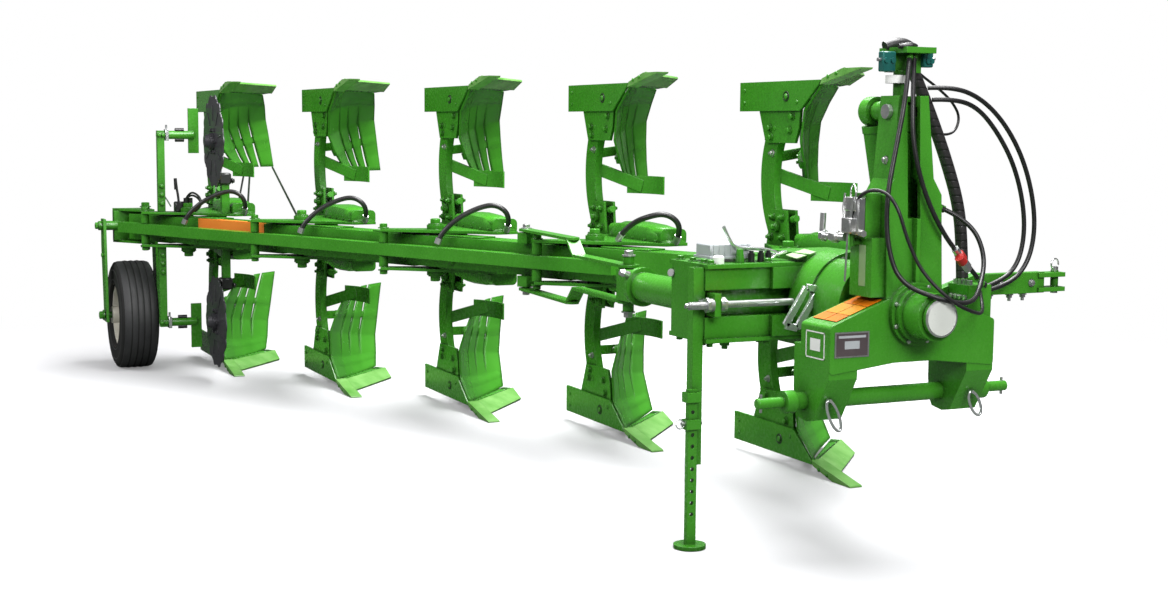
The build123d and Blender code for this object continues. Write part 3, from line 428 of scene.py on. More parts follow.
# Hoses. Columns: diameter and length in metres, stiffness, corners in millimetres
HOSES = {
    "hose_bundle": (0.042, 0.797, "stiff", [
        (-4, 58, 1136), (-4, 100, 1060), (-4, 165, 935), (-2, 230, 790), (0, 285, 640), (5, 300, 500),
        (12, 300, 390)]),
    "hose_outer": (0.016, 1.077, "stiff", [
        (7.7, 134.4, 1039.8), (46, 210, 1044), (46, 325, 1010), (45, 430, 930), (42, 520, 810),
        (40, 575, 670), (40, 590, 540), (40, 560, 430), (40, 480, 362), (42, 380, 345)]),
    "hose_inner": (0.016, 0.988, "stiff", [
        (5.3, 156.4, 1000.4), (33, 231, 1004), (26, 335, 975), (18, 430, 890), (12, 510, 780),
        (12, 556, 650), (12, 568, 530), (12, 540, 425), (14, 465, 372), (18, 380, 352)]),
    "hose_upper": (0.0092, 0.423, "medium", [
        (-36, 78, 1128), (-36, 130, 1088), (-36, 200, 1048), (-36, 270.7, 998.1), (-34, 307.7, 941.1),
        (-31.3, 276.8, 880.5), (-10.9, 212.2, 883.9)]),
    "hose_loop": (0.016, 1.525, "medium", [
        (85, -2, 1130), (148, -58, 1010), (155, -95, 850), (170, -140, 680), (180, -140, 520),
        (215, -110, 400), (314, -10, 352), (302, 110, 335), (215, 215, 375), (145, 290, 480),
        (85, 270, 590), (45, 190, 630)]),
    "hose_red": (0.016, 0.873, "medium", [
        (72, 26, 1132), (122, -12, 1010), (145, -25, 850), (155, 25, 680), (165, 100, 550),
        (150, 180, 480), (105, 290, 400)]),
    "hose_valve": (0.012, 1.054, "medium", [
        (60, -195, 560), (70, -205, 640), (112, -190, 700), (187, -160, 705), (235, -140, 650),
        (250, -115, 550), (275, -70, 440), (330, 15, 345), (322, 120, 305), (245, 205, 300),
        (165, 262, 335), (110, 300, 350)]),
}


def make_hoses():
    for name, (diameter, length, stiffness, corners) in HOSES.items():
        data = bpy.data.curves.new(name + "_look", "CURVE")
        data.dimensions = "3D"
        data.bevel_depth = diameter / 2
        data.bevel_resolution = 5
        data.resolution_u = 12
        data.use_fill_caps = True
        line = data.splines.new("NURBS")
        line.points.add(len(corners) - 1)
        for point, corner in zip(line.points, corners):
            point.co = (*mm(*corner), 1)
        line.order_u = 3
        line.use_endpoint_u = True
        data.materials.append(MATERIALS["wrap" if name == "hose_bundle" else "rubber"])
        obj = new_object(name + "_look", data)
        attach(obj, "headstock")
        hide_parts(name)


# Headstock: places in millimetres from the middle of the hitch shaft, radii in metres
TOP_PIN_X, TOP_PIN_Z = 62, 958
LINCH_PIN_Y = 496
MAST_FACE = 112
LINK_X = 114
HUB_X, HUB_RING = 168, 0.097
CAP_RADIUS = 0.056
VALVE_FACE = -201
ROOF_Z = 1172
ARM_X, ARM_PIN_Y = -50, 764
PLATE_FACE = 150.2
RIGHT_FACE = -332.2
COLUMN_FACE = -165.2


def fit_mast():
    """Heads of the top link's pin, grease points, linch pins and the bolts at the mast's foot."""
    steel = kit("fasteners", "zinc", "headstock")
    for side in (-1, 1):
        out = LEFT * side
        steel.rod(mm(TOP_PIN_X, side * 63, TOP_PIN_Z), mm(TOP_PIN_X, side * 78, TOP_PIN_Z), 0.024, 24)
        steel.bolt(mm(70, side * 76, 799), out, 0.020)
        steel.rod(mm(0, side * LINCH_PIN_Y, -30), mm(0, side * LINCH_PIN_Y, 30), 0.005)
        for z in (330, 380):
            steel.bolt(mm(120, side * MAST_FACE, z), out, 0.018, False)


def fit_links():
    """Oval links that hang on pins at the bracket's legs."""
    link = kit("hanging_links", "bright_zinc", "headstock")
    for y, z, tall, wide in ((-286, -36, 0.052, 0.020), (290, -32, 0.042, 0.022)):
        oval = []
        for turn in turns(28):
            rise = tall * math.sin(turn)
            oval.append(mm(LINK_X, y, z) + Vector((0, wide * math.cos(turn) - 0.4 * rise, rise)))
        link.tube(oval, 0.0050, closed=True)
        top = oval[len(oval) // 4]
        link.rod(top - FORWARD * 0.034, top + FORWARD * 0.010, 0.0055, 14)


def fit_hub():
    """White cap on the axle, its rim, and the bolts of the hub."""
    cap = kit("cap", "cap", "swing")
    cap.rod(mm(292, 0, AXIS), mm(295, 0, AXIS), CAP_RADIUS, 40)
    rim = kit("cap_rim", "zinc", "swing")
    profile = [(CAP_RADIUS, 0), (0.0625, 0), (0.0625, 0.004), (CAP_RADIUS, 0.006)]
    rim.lathe(mm(290, 0, AXIS), FORWARD, profile)
    steel = kit("fasteners", "zinc", "headstock")
    for off in circle(LEFT, UP, HUB_RING, 8, 22.5):
        steel.bolt(mm(HUB_X, 0, AXIS) + off, FORWARD, 0.014, False)


def fit_valve():
    """Silver valve on the right cheek: blocks, spools, fittings and pipes."""
    valve = kit("valve", "zinc", "headstock")
    valve.box(mm(62, -186, 615), (0.076, 0.030, 0.120))
    valve.box(mm(66, -212, 585), (0.050, 0.030, 0.050))
    valve.box(mm(66, -200, 655), (0.060, 0.024, 0.045))
    for start, end, radius, sides in (
        ((52, -215, 545), (-62, -235, 545), 0.014, 20),
        ((20, -222, 545), (-10, -226, 545), 0.021, 6),
        ((-40, -232, 545), (-56, -234, 545), 0.020, 6),
        ((-58, -234, 535), (-58, -230, 620), 0.010, 20),
        ((100, -190, 560), (122, -192, 560), 0.012, 6),
        ((60, -195, 556), (60, -194, 574), 0.0095, 6),
    ):
        valve.rod(mm(*start), mm(*end), radius, sides)
    valve.ring(mm(70, -200, 690), (0.3, 1, 0), 0.028, 0.0035)
    for pipe in (
        ((92, -215, 680), (86, -218, 620), (72, -220, 560), (66, -220, 470), (60, -219, 400)),
        ((40, -212, 690), (36, -216, 640), (50, -218, 600)),
    ):
        valve.tube([mm(*corner) for corner in pipe], 0.0035)
    for z in (572, 600, 640, 668):
        for x in (40, 84):
            valve.bolt(mm(x, VALVE_FACE, z), -LEFT, 0.014, False)


def fit_couplers():
    """Red couplers of the parked hoses."""
    red = kit("couplers", "red", "headstock")
    steel = kit("fasteners", "zinc", "headstock")
    steel.rod(mm(158, 150, 506), mm(137, 212, 452), 0.013)
    run = Vector((-0.16, 0.72, -0.66)).normalized()
    for at in (mm(150, 180, 480), mm(172, 165, 470)):
        red.rod(at - run * 0.012, at + run * 0.016, 0.0165, 24)
        steel.rod(at + run * 0.016, at + run * 0.055, 0.0135, 6)


def fit_holder():
    """Holder of the parked hoses: clips, collar, and the hoses' backs over its roof."""
    teal = kit("holder", "teal", "headstock")
    teal.box(mm(44, -62, 1122), (0.030, 0.052, 0.066))
    teal.box(mm(44, 96, 1132), (0.030, 0.040, 0.052))
    for y in (-76, -50, 92, 106):
        teal.rod(mm(58, y, 1126), mm(66, y, 1126), 0.009)
    steel = kit("fasteners", "zinc", "headstock")
    steel.rod(mm(44, -88, 1128), mm(44, -100, 1128), 0.006)
    steel.rod(mm(44, 116, 1132), mm(44, 130, 1136), 0.006)
    collar = kit("collar", "white", "headstock")
    collar.rod(mm(36, -18, 1052), mm(36, -18, 1078), 0.0355, 32)
    rubber = kit("hose_backs", "rubber", "headstock")
    for x, start, end, top, radius in (
        (-4, 58, -30, 1190, 0.021),
        (85, -2, -40, 1166, 0.008),
        (72, 26, -22, 1178, 0.008),
    ):
        crown = mm(x, (start + end) / 2 + 12, top + 6)
        rubber.tube(bend_through([mm(x, start + 8, ROOF_Z), crown, mm(x - 10, end, ROOF_Z)]), radius)


def fit_spring_lever():
    """Spring lever before the hub, with its black knob."""
    steel = kit("fasteners", "zinc", "headstock")
    steel.tube([mm(200, 84, 324), mm(202, 20, 290), mm(200, -40, 256)], 0.0055)
    knob = kit("knob", "black", "headstock")
    knob.rod(mm(200, -34, 260), mm(200, -58, 247), 0.015, 18, 0.013)


def fit_left_shoulder():
    """Fittings where the hoses end, manifold ports, and pin, ring and bolts of the left arm."""
    dark = kit("fittings", "black", "headstock")
    for x, y, z in ((42, 352, 341), (18, 352, 346), (84, 318, 356), (92, 325, 374)):
        dark.rod(mm(x, y, z), mm(x, y + 10, z - 2), 0.012, 6)
    dark.rod(mm(45, 190, 630), mm(40, 176, 637), 0.012, 6)
    dark.rod(mm(46, 188, 628), mm(41, 172, 636), 0.0105, 18)
    silver = kit("manifold_ports", "zinc", "headstock")
    for x in (6, 30, 54, 78):
        silver.rod(mm(x, 280, 372), mm(x, 280, 388), 0.0105, 6)
        silver.bolt(mm(x, 262, 330), -LEFT, 0.018, False)
    silver.rod(mm(ARM_X, ARM_PIN_Y, 316), mm(ARM_X, ARM_PIN_Y, 412), 0.0125)
    silver.ring(mm(ARM_X, ARM_PIN_Y, 420), (1, 0.2, 0), 0.020, 0.003)
    for y in (470, 560, 620):
        silver.bolt(mm(ARM_X, y, 318), -UP, 0.022, True, 0.012)
    for y in (500, 640):
        silver.bolt(mm(-28, y, 358), FORWARD, 0.020)


def facing_front(x, right, left, low, high):
    """Corners of an upright rectangle that faces the tractor."""
    return [mm(x, right, low), mm(x, left, low), mm(x, left, high), mm(x, right, high)]


def facing_right(y, rear, front, low, high):
    """Corners of an upright rectangle on a right face."""
    return [mm(rear, y, low), mm(front, y, low), mm(front, y, high), mm(rear, y, high)]


def fit_labels():
    """Blank labels of the bracket and the mast."""
    slope = (mm(0, -332, 262) - mm(0, -105, 345)).normalized()
    lift = Vector((0, -slope.z, slope.y)) * -0.0012
    top = mm(0, -120, 340.5)
    for start, end, finish in ((0.000, 0.060, "amber"), (0.063, 0.135, "yellow"), (0.138, 0.188, "amber")):
        field = kit("label_" + finish, finish, "headstock")
        near = top + slope * start + lift
        far = top + slope * end + lift
        for rear, front in ((mm(-6, 0, 0), mm(62, 0, 0)), (mm(66, 0, 0), mm(132, 0, 0))):
            field.sheet([near + rear, near + front, far + front, far + rear], lift * 0.6)
    rim = kit("data_plate_rim", "zinc", "headstock")
    rim.sheet(facing_front(PLATE_FACE, -314, -180, 160, 244), (0.0014, 0, 0))
    blank = kit("data_plate", "plate", "headstock")
    blank.sheet(facing_front(PLATE_FACE + 1.2, -308, -186, 165, 239), (0.0006, 0, 0))
    fields = kit("data_fields", "grey", "headstock")
    fields.sheet(facing_front(PLATE_FACE + 1.8, -276, -218, 188, 214), (0.0004, 0, 0))
    fields.sheet(facing_front(PLATE_FACE + 1.8, -300, -194, 224, 232), (0.0004, 0, 0))
    label = kit("side_label", "white", "headstock")
    for edge in ((10, 120, 236, 240), (10, 120, 150, 154), (10, 14, 150, 240), (116, 120, 150, 240)):
        label.sheet(facing_right(RIGHT_FACE, *edge), LEFT * -0.0012)
    label.sheet(facing_right(RIGHT_FACE, 36, 94, 176, 216), LEFT * -0.0010)
    tag = kit("mast_label", "pale_green", "headstock")
    tag.sheet(facing_right(COLUMN_FACE, 62, 98, 385, 520), LEFT * -0.001)


# Swing frame: places in millimetres, radii in metres
FLANGE_X, FLANGE_RING = -215, 0.158
BOX_HALF = 137
ARM_HALF = 117
HANDLE_X = -207
SPINDLE_X = -322
SPINDLE_END = -592
THREAD_PITCH = 2.2
THREAD_TURNS = 33
COVER_X, COVER_Y = -490, -362
LEVER_X = -430
BOX_TOP = 430
STAND_X, STAND_PIN_Z = -350, -120


def fit_casting():
    """Bolts round the crank flange, and nuts above and below the casting."""
    steel = kit("fasteners", "zinc", "swing")
    green = kit("nuts", "green", "swing")
    for off in circle(LEFT, UP, FLANGE_RING, 12, 15):
        steel.bolt(mm(FLANGE_X, 0, AXIS) + off, FORWARD, 0.020, False)
    for up in (-1, 1):
        out = UP * up
        for x in (-590, -500, -420, -372):
            for y in (-480, -250):
                green.bolt(mm(x, y, AXIS + up * BOX_HALF), out, 0.026)
        for x, y in ((-840, 90), (-840, 300), (-700, 120), (-700, 290), (-620, 120), (-620, 290)):
            green.bolt(mm(x, y, AXIS + up * ARM_HALF), out, 0.030)
    green.bolt(mm(-440, -380, AXIS - BOX_HALF), -UP, 0.040, True, 0.014)


def fit_lock_handle():
    """Flat handle of the parking lock."""
    handle = kit("lock_handle", "bright_zinc", "swing")
    corners = [mm(HANDLE_X, y, z) for y, z in ((-194, 354), (-142, 347), (-228, 214), (-276, 225))]
    for start, end in zip(corners, corners[1:] + corners[:1]):
        handle.beam(start, end, 0.024, 0.014, FORWARD)


def fit_spindle():
    """Nuts of the adjusting spindle, its free end and its thread."""
    steel = kit("fasteners", "zinc", "swing")
    for y in (-520, -456):
        steel.rod(mm(SPINDLE_X, y - 6, AXIS), mm(SPINDLE_X, y + 6, AXIS), 0.026, 6)
    steel.rod(mm(SPINDLE_X, SPINDLE_END - 1, AXIS), mm(SPINDLE_X, SPINDLE_END - 14, AXIS), 0.009, 6)
    ridge = [(0.0128, -0.0010), (0.0138, 0), (0.0128, 0.0010)]
    for step in range(THREAD_TURNS):
        steel.lathe(mm(SPINDLE_X, SPINDLE_END + step * THREAD_PITCH, AXIS), LEFT, ridge, 20)


def fit_box():
    """Perforated cover, bent levers, plug, valves and a plain band on the box."""
    cover = kit("cover", "grey", "swing")
    cover.box(mm(COVER_X, COVER_Y, 470), (0.110, 0.165, 0.048))
    cover.box(mm(COVER_X, COVER_Y, 446), (0.118, 0.176, 0.010))
    for step in range(7):
        cover.box(mm(-434, -432 + step * 23, 474), (0.004, 0.006, 0.034))
    lever = kit("levers", "bright_zinc", "swing")
    line = ((-398, 556), (-378, 515), (-350, 478), (-280, 476), (-196, 468), (-165, 450))
    lever.tube(bend_through([mm(LEVER_X, y, z) for y, z in line]), 0.0065)
    lever.beam(mm(LEVER_X, -222, 424), mm(LEVER_X, -184, 450), 0.020, 0.007)
    lever.beam(mm(LEVER_X, -186, 450), mm(LEVER_X, -138, 462), 0.022, 0.007)
    plug = kit("plug", "white", "swing")
    plug.rod(mm(-385, -442, BOX_TOP), mm(-385, -442, 452), 0.020, 24)
    plug.rod(mm(-385, -442, 452), mm(-385, -442, 458), 0.020, 24, 0.014)
    dark = kit("valves", "black", "swing")
    for x, y in ((-400, -300), (-398, -262), (-404, -228)):
        dark.rod(mm(x, y, BOX_TOP), mm(x, y, 462), 0.012, 16)
        dark.rod(mm(x, y, 462), mm(x, y, 470), 0.008, 16)
    green = kit("nuts", "green", "swing")
    green.rod(mm(-392, -352, BOX_TOP), mm(-392, -352, 478), 0.017, 16, 0.012)
    strap = kit("strap", "pale_green", "swing")
    corners = ((-338, -150, 441), (-338, -70, 462), (-430, -60, 466), (-430, -140, 446))
    strap.sheet([mm(*corner) for corner in corners], (0, 0, 0.003))


def fit_stand():
    """Pin and ring of the stand, bolt of its sleeve, and plug beside the width tube."""
    steel = kit("fasteners", "zinc", "swing")
    steel.rod(mm(STAND_X, -600, STAND_PIN_Z), mm(STAND_X, -520, STAND_PIN_Z), 0.007)
    steel.ring(mm(STAND_X, -606, STAND_PIN_Z), (1, 0, 0.3), 0.016, 0.0025)
    steel.bolt(mm(-362, -514, AXIS), -LEFT, 0.03)
    steel.rod(mm(-600, -500, 380), mm(-590, -520, 384), 0.014)


def fit_width_tube():
    """Plug and end bolts of the width tube, and the bolts of its links."""
    steel = kit("fasteners", "zinc", "width_tube")
    steel.rod(mm(-985, -488, 340), mm(-985, -512, 348), 0.013)
    steel.rod(mm(-985, -512, 348), mm(-985, -526, 352), 0.016, 16, 0.010)
    for up in (-1, 1):
        steel.bolt(mm(-1110, -425, AXIS + up * 108), UP * up, 0.040)
    steel = kit("fasteners", "zinc", "width_link")
    for up in (-1, 1):
        steel.bolt(along(0.770, -0.600, up * 0.142), UP * up, 0.036)


# Bodies: places in millimetres from the first landside's rear end, depth from the turnover axis
SHIN_WING = [
    ((648, 2, 790), (255, 345, 791)),
    ((515, 2, 680), (120, 390, 725)),
    ((485, 8, 545), (0, 425, 640)),
    ((445, 55, 455), (-70, 460, 540)),
    ((370, 115, 390), (-110, 485, 440)),
    ((280, 185, 345), (-130, 505, 340)),
]
HOLLOW = 35
LANDSIDE_FACE = -12
PLATE_DEPTH = 100
HOUSING_Y = 35
# Rows of a console housing: place, half width and rise over the plate
HOUSING_ROWS = ((496, 52, 0), (506, 64, 28), (540, 70, 58), (620, 72, 76), (720, 72, 78), (880, 70, 72),
                (980, 68, 62), (1014, 62, 34), (1024, 54, 0))
# Arch of every row, from its right foot to its left: shares of the half width and of the rise
HOUSING_ARCH = ((-1, 0), (-1, 0.55), (-0.86, 0.86), (-0.55, 1), (0.55, 1), (0.86, 0.86), (1, 0.55), (1, 0))
# Thin braces of the last upper moldboard
BRACES = (
    ((100, 255, 294), (620, 95, 134)),
    ((100, 293, 300), (840, 101, 146)),
    ((-95, 488, 336), (1600, 186, 118)),
)


def body_place(order, up, x, y, depth):
    at = FIRST + TO_REAR * BODY_SPACING * order + mm(x, y, 0)
    at.z = TURN_Z + up * depth / 1000
    return at


def board_row(number, share, back):
    """Point and normal at a share of one row's line from shin to wing."""
    shin, wing = (Vector(end) for end in SHIN_WING[number])
    before = SHIN_WING[max(number - 1, 0)]
    after = SHIN_WING[min(number + 1, len(SHIN_WING) - 1)]
    rise = Vector(after[0]) + Vector(after[1]) - Vector(before[0]) - Vector(before[1])
    normal = (wing - shin).cross(rise).normalized()
    if normal.x > 0:
        normal = -normal
    return shin + (wing - shin) * share + normal * (4 * HOLLOW * share * (1 - share) + back), normal


def board_place(order, up, row, share, back):
    """Point near a moldboard's face, at a row and a share of its line, and the normal there."""
    number = min(int(row), len(SHIN_WING) - 2)
    part = row - number
    low, low_normal = board_row(number, share, back)
    high, high_normal = board_row(number + 1, share, back)
    at = low * (1 - part) + high * part
    normal = (low_normal * (1 - part) + high_normal * part).normalized()
    return body_place(order, up, *at), Vector((normal.x, normal.y, up * normal.z))


def housing_cover(shape, at):
    """Rounded cover over one console housing."""
    rows = []
    for x, half, rise in HOUSING_ROWS:
        rows.append([shape.mesh.verts.new(at(x, HOUSING_Y + wide * half, PLATE_DEPTH + tall * rise))
                     for wide, tall in HOUSING_ARCH])
    for one, two in zip(rows, rows[1:]):
        for corners in zip(one, one[1:], two[1:], two):
            shape.mesh.faces.new(corners)
    shape.mesh.faces.new(rows[0])
    shape.mesh.faces.new(rows[-1][::-1])


def fit_landside(at, green, dark):
    """Bolts of the landside, the share and the frog, and the landside's eyelet."""
    out = -LEFT
    for x, depth in ((40, 720), (40, 775), (470, 720), (700, 822), (760, 834)):
        green.dome(at(x, LANDSIDE_FACE, depth), out, 0.009)
    eyelet = at(385, LANDSIDE_FACE - 0.5, 745)
    dark.ring(eyelet, LEFT, 0.020, 0.0026)
    green.dome(eyelet, out, 0.014)
    for x, depth in ((240, 610), (400, 600), (250, 570), (420, 660)):
        green.bolt(at(x, 0, depth), out, 0.026)


def fit_leg(at, bright, green, dark):
    """Screws through the stalk, and bolts and pin of the bracket at the leg's root."""
    out = -LEFT
    dark.bolt(at(186, 32, 560), -FORWARD, 0.028, True, 0.014)
    bright.bolt(at(244, 14, 500), out, 0.024, True, 0.008)
    green.bolt(at(276, 14, 610), out, 0.028)
    for x, depth in ((262, 135), (355, 135), (276, 222), (350, 222)):
        green.bolt(at(x, 2, depth), out, 0.028, True, 0.010)
        green.bolt(at(x, 62, depth), LEFT, 0.028, True, 0.010)
    green.rod(at(310, 0, 180), at(310, -16, 180), 0.024, 24)
    green.bolt(at(310, -16, 180), out, 0.026)
    green.rod(at(388, 32, 215), at(420, 32, 222), 0.016, 16)


def fit_console(order, up, at, green):
    """Nuts of the console's plate, the housing's cover and screws, and both pin heads."""
    out = UP * up
    for x, y in ((250, 20), (440, 20), (470, 80)):
        green.bolt(at(x, y, PLATE_DEPTH + 2), out, 0.026)
    housing_cover(green, at)
    for x in (540, 640, 760, 880, 980):
        green.bolt(at(x, -34, PLATE_DEPTH + 4), out, 0.020, False)
    green.bolt(along(PIVOT_ALONG + BODY_SPACING * order, BEAM_ACROSS, up * 0.124), out, 0.052)
    green.bolt(along(RAIL_PIN_ALONG + BODY_SPACING * order, RAIL_ACROSS, up * 0.102), out, 0.040)


def fit_board(order, up, at, green, foot):
    """Plate in the wedge between board and share, and the bolts of the slats."""
    foot.sheet([at(640, 3, 795), at(262, 346, 795), at(258, 396, 803), at(639, 4, 806)], mm(-4, -2, 0))
    for row in (0.75, 3.1):
        for share in (0.17, 0.42, 0.62, 0.86):
            place, out = board_place(order, up, row, share, 24)
            green.bolt(place, out, 0.018, False)


def fit_bodies():
    for order in range(BODIES):
        body = "swing" if order == 0 else f"body_{order + 1}"
        bright = kit("leg_bolts", "zinc", body)
        green = kit("leg_nuts", "green", body)
        dark = kit("leg_screws", "black", body)
        foot = kit("board_foot", "green", body)
        for up in (-1, 1):
            at = partial(body_place, order, up)
            fit_landside(at, green, dark)
            fit_leg(at, bright, green, dark)
            fit_console(order, up, at, green)
            fit_board(order, up, at, green, foot)


# Beam, in metres along and across it
BEAM_FACE = BEAM_ACROSS - BEAM_SIZE / 2
BAND_START, BAND_END = 2.76, 3.37
BAND_WIDTH = 0.045
BAND_FOOT = 0.010
STRIP_LIFT = BEAM_SIZE / 2 + 0.0035
STRIP_FRONT = -0.70


def fit_beam():
    """Nuts, bores drawn as dark discs of painted shade, wear strips and end bolt of the beam."""
    green = kit("nuts", "green", "beam")
    steel = kit("fasteners", "zinc", "beam")
    dark = kit("bores", "painted_bore_shade", "beam")
    for order in range(BODIES):
        pivot = PIVOT_ALONG + BODY_SPACING * order
        for off in (-0.200, 0.140):
            green.bolt(along(pivot + off, BEAM_FACE, -0.045), -TO_LEFT, 0.024)
        for start, end in ((-0.36, -0.09), (0.09, 0.40)):
            for lift in (-STRIP_LIFT, STRIP_LIFT):
                front = along(max(pivot + start, STRIP_FRONT), BEAM_ACROSS, lift)
                green.beam(front, along(pivot + end, BEAM_ACROSS, lift), 0.120, 0.007)
    # Bores: thin near-black discs on the beam's face, painted shade of holes
    for step in range(6):
        bore = along(-0.53 + 0.062 * step, BEAM_FACE)
        dark.rod(bore, bore - TO_LEFT * 0.0006, 0.010, 18)
    steel.bolt(along(LAST_PIVOT + 0.500, BEAM_ACROSS, 0.02), TO_REAR, 0.030)


def fit_band():
    """Plain orange band over the beam's front edge."""
    band = kit("band", "orange", "beam")
    inner, outer = BEAM_FACE + BAND_WIDTH, BEAM_FACE - 0.0012
    half = BEAM_SIZE / 2
    top = half + 0.0004
    band.sheet([along(BAND_START, inner, top), along(BAND_START, outer, top), along(BAND_END, outer, top),
                along(BAND_END, inner, top)], (0, 0, 0.0008))
    band.sheet([along(BAND_START, outer, half), along(BAND_END, outer, half),
                along(BAND_END, outer, BAND_FOOT), along(BAND_START, outer, BAND_FOOT)], TO_LEFT * -0.0006)


# Rear of the beam: wheel and coulters, in metres
CARRIER = along(LAST_PIVOT + 0.440, BEAM_ACROSS)
WHEEL_Y = CARRIER.y - 0.0755
WHEEL_HUB = Vector((CARRIER.x - 0.0797, WHEEL_Y, GROUND_Z + WHEEL_RADIUS))
WHEEL_BOLT_RING = 0.098
LOBE_INSET = 0.022
SPOKE_START, SPOKE_END = 0.115, 0.205
POST, POST_TIP = CARRIER + Vector((0.3203, 0.0345, 0)), 0.545
DISC, DISC_LIFT = CARRIER + Vector((0.6503, 0.2695, 0)), 0.513
ELBOW, ELBOW_LIFT = CARRIER + Vector((0.6053, 0.3355, 0)), 0.300
TREAD_ROOT = 0.300
TREAD_EDGE = 0.3205
TREAD_CROWN = 0.3235
SHOULDER_Y = 0.06
SHOULDER_DROP = 0.006
# Ribs of the tread, and the profiles of the two raised lines on each side wall
TREAD_RIBS = ((-0.094, -0.058), (-0.050, -0.021), (-0.013, 0.013), (0.021, 0.050), (0.058, 0.094))
WALL_LINES = (
    ((0.262, 0.1070), (0.268, 0.1095), (0.274, 0.1068), (0.268, 0.100)),
    ((0.205, 0.1070), (0.210, 0.1090), (0.216, 0.1066), (0.210, 0.100)),
)


def fit_carrier():
    """Bolts of the wheel's carrier and of its arm."""
    green = kit("nuts", "green", "wheel_carrier")
    arm = kit("nuts", "green", "wheel_arm")
    for up in (-1, 1):
        green.bolt(CARRIER + UP * up * 0.114, UP * up, 0.048)
    for side in (-1, 1):
        out = LEFT * side
        green.bolt((CARRIER.x - 0.1247, WHEEL_Y + side * 0.176, TURN_Z), out, 0.040)
        arm.bolt(WHEEL_HUB + out * 0.166, out, 0.046)
        arm.bolt(WHEEL_HUB + out * 0.159 + UP * 0.36, out, 0.026)


def fit_wheel():
    """Wheel bolts, ribs of the tread and raised lines of the side walls."""
    bolts = kit("wheel_bolts", "zinc", "wheel")
    # Ribs and lines are lighter rubber than the tyre's body, whose darker tone is painted shade
    tread = kit("tread", "tyre", "wheel")
    for side in (-1, 1):
        for off in circle(FORWARD, UP, WHEEL_BOLT_RING, 6, 12):
            bolts.bolt(WHEEL_HUB + off + LEFT * side * 0.011, LEFT * side, 0.024, True, 0.010)
        for line in WALL_LINES:
            tread.lathe(WHEEL_HUB, LEFT, [(radius, side * y) for radius, y in line], 96)
    for start, end in TREAD_RIBS:
        middle = (start + end) / 2
        start_drop, middle_drop, end_drop = (
            SHOULDER_DROP if abs(y) > SHOULDER_Y else 0 for y in (start, middle, end))
        profile = [(TREAD_ROOT, start), (TREAD_EDGE - start_drop, start),
                   (TREAD_CROWN - middle_drop * 0.6, middle), (TREAD_EDGE - end_drop, end),
                   (TREAD_ROOT, end)]
        tread.lathe(WHEEL_HUB, LEFT, profile, 96)


def fit_discs():
    """Bearing cap, bolts, spokes and scalloped edge of each coulter disc."""
    for name, up in (("lower", -1), ("upper", 1)):
        disc = kit("disc_bolts", "dark", f"coulter_{name}")
        centre = DISC + UP * up * DISC_LIFT
        disc.rod(centre - LEFT * 0.029, centre - LEFT * 0.052, 0.040, 28, 0.030)
        for off in circle(FORWARD, UP, DISC_RADIUS - LOBE_INSET, 14):
            lobe = centre + off
            disc.rod(lobe - LEFT * 0.0028, lobe + LEFT * 0.0028, 0.036, 20)
        for off in circle(FORWARD, UP, 0.070, 6):
            disc.bolt(centre + off - LEFT * 0.003, -LEFT, 0.020)
        face = centre - LEFT * 0.0045
        for off in circle(FORWARD, UP, 1, 9, 10):
            disc.beam(face + off * SPOKE_START, face + off * SPOKE_END, 0.010, 0.003, LEFT)


def fit_coulter_arms():
    """Silver clamps, black bands, screws and elbows of the coulters' carriers."""
    bright = kit("carrier_clamps", "bright_zinc", "body_5")
    dark = kit("carrier_bands", "black", "body_5")
    green = kit("carrier_nuts", "green", "body_5")
    for up in (-1, 1):
        tip = POST + UP * up * POST_TIP
        bright.beam(tip + mm(0, 26, 0), tip + mm(0, 44, 0), 0.060, 0.066)
        bright.rod(tip + mm(0, 35, 36), tip + mm(0, 35, 58), 0.006)
        for z in (-28, 28):
            dark.rod(tip + mm(0, 85, z), tip + mm(0, 135, z), 0.012, 16)
        for y in (-12, 12):
            green.bolt(tip + mm(21, y, 0), FORWARD, 0.020)
        for z in (150, 200, 250):
            green.bolt(POST + mm(21, 0, up * z), FORWARD, 0.022)
        elbow = ELBOW + UP * up * ELBOW_LIFT
        dark.box(elbow, (0.074, 0.070, 0.066))
        for x in (-26, 26):
            dark.bolt(elbow + mm(x, -40, 12), -LEFT, 0.024, True, 0.012)
            dark.bolt(elbow + mm(x, 40, -12), LEFT, 0.024)


def fit_last_console():
    """Lever, valves and hoses on the last console, and the braces of the last upper board."""
    bright = kit("carrier_clamps", "bright_zinc", "body_5")
    lever = kit("lever", "black", "body_5")
    foot = POST + mm(20, 96, 130)
    lever.box(foot, (0.060, 0.050, 0.060))
    lever.tube(bend_through([foot, foot + mm(0, 0, 60), foot + mm(-10, -12, 120)]), 0.007)
    lever.rod(foot + mm(-10, -12, 100), foot + mm(-12, -16, 165), 0.011, 16, 0.009)
    for y in (35, 60):
        lever.rod(foot + mm(30, y, -26), foot + mm(30, y, 52), 0.014, 16)
        bright.rod(foot + mm(-20, y, -26), foot + mm(-20, y, 30), 0.010, 6)
    wire = ((-30, -40, 0), (-30, -70, 60), (-30, -100, 90))
    bright.tube(bend_through([foot + mm(*corner) for corner in wire]), 0.004)
    for lift in (0, 16):
        hose = ((20, 30, 30), (50, 50, 75 + lift), (160, 80, 60 + lift), (220, 90, 10 + lift), (160, 60, -20))
        lever.tube(bend_through([foot + mm(*corner) for corner in hose]), 0.006)
    for start, end in BRACES:
        lever.rod(body_place(BODIES - 1, 1, *start), body_place(BODIES - 1, 1, *end), 0.006, 12)


# Hoses held at both ends over the consoles: corners in the body's millimetres
PLATE_START = [(880, -170, 106), (905, -165, 140), (960, -130, 192)]
RAIL_START = [(982, -299, 45), (984, -292, 72), (1000, -255, 125), (1022, -190, 180)]
HOSE_ARC = [(1048, -110, 220), (1080, -45, 236), (1104, 8, 205), (1090, 30, 150), (1046, 32, 104)]
HOSE_RADIUS = 0.0125
FITTING_RADIUS = 0.0165


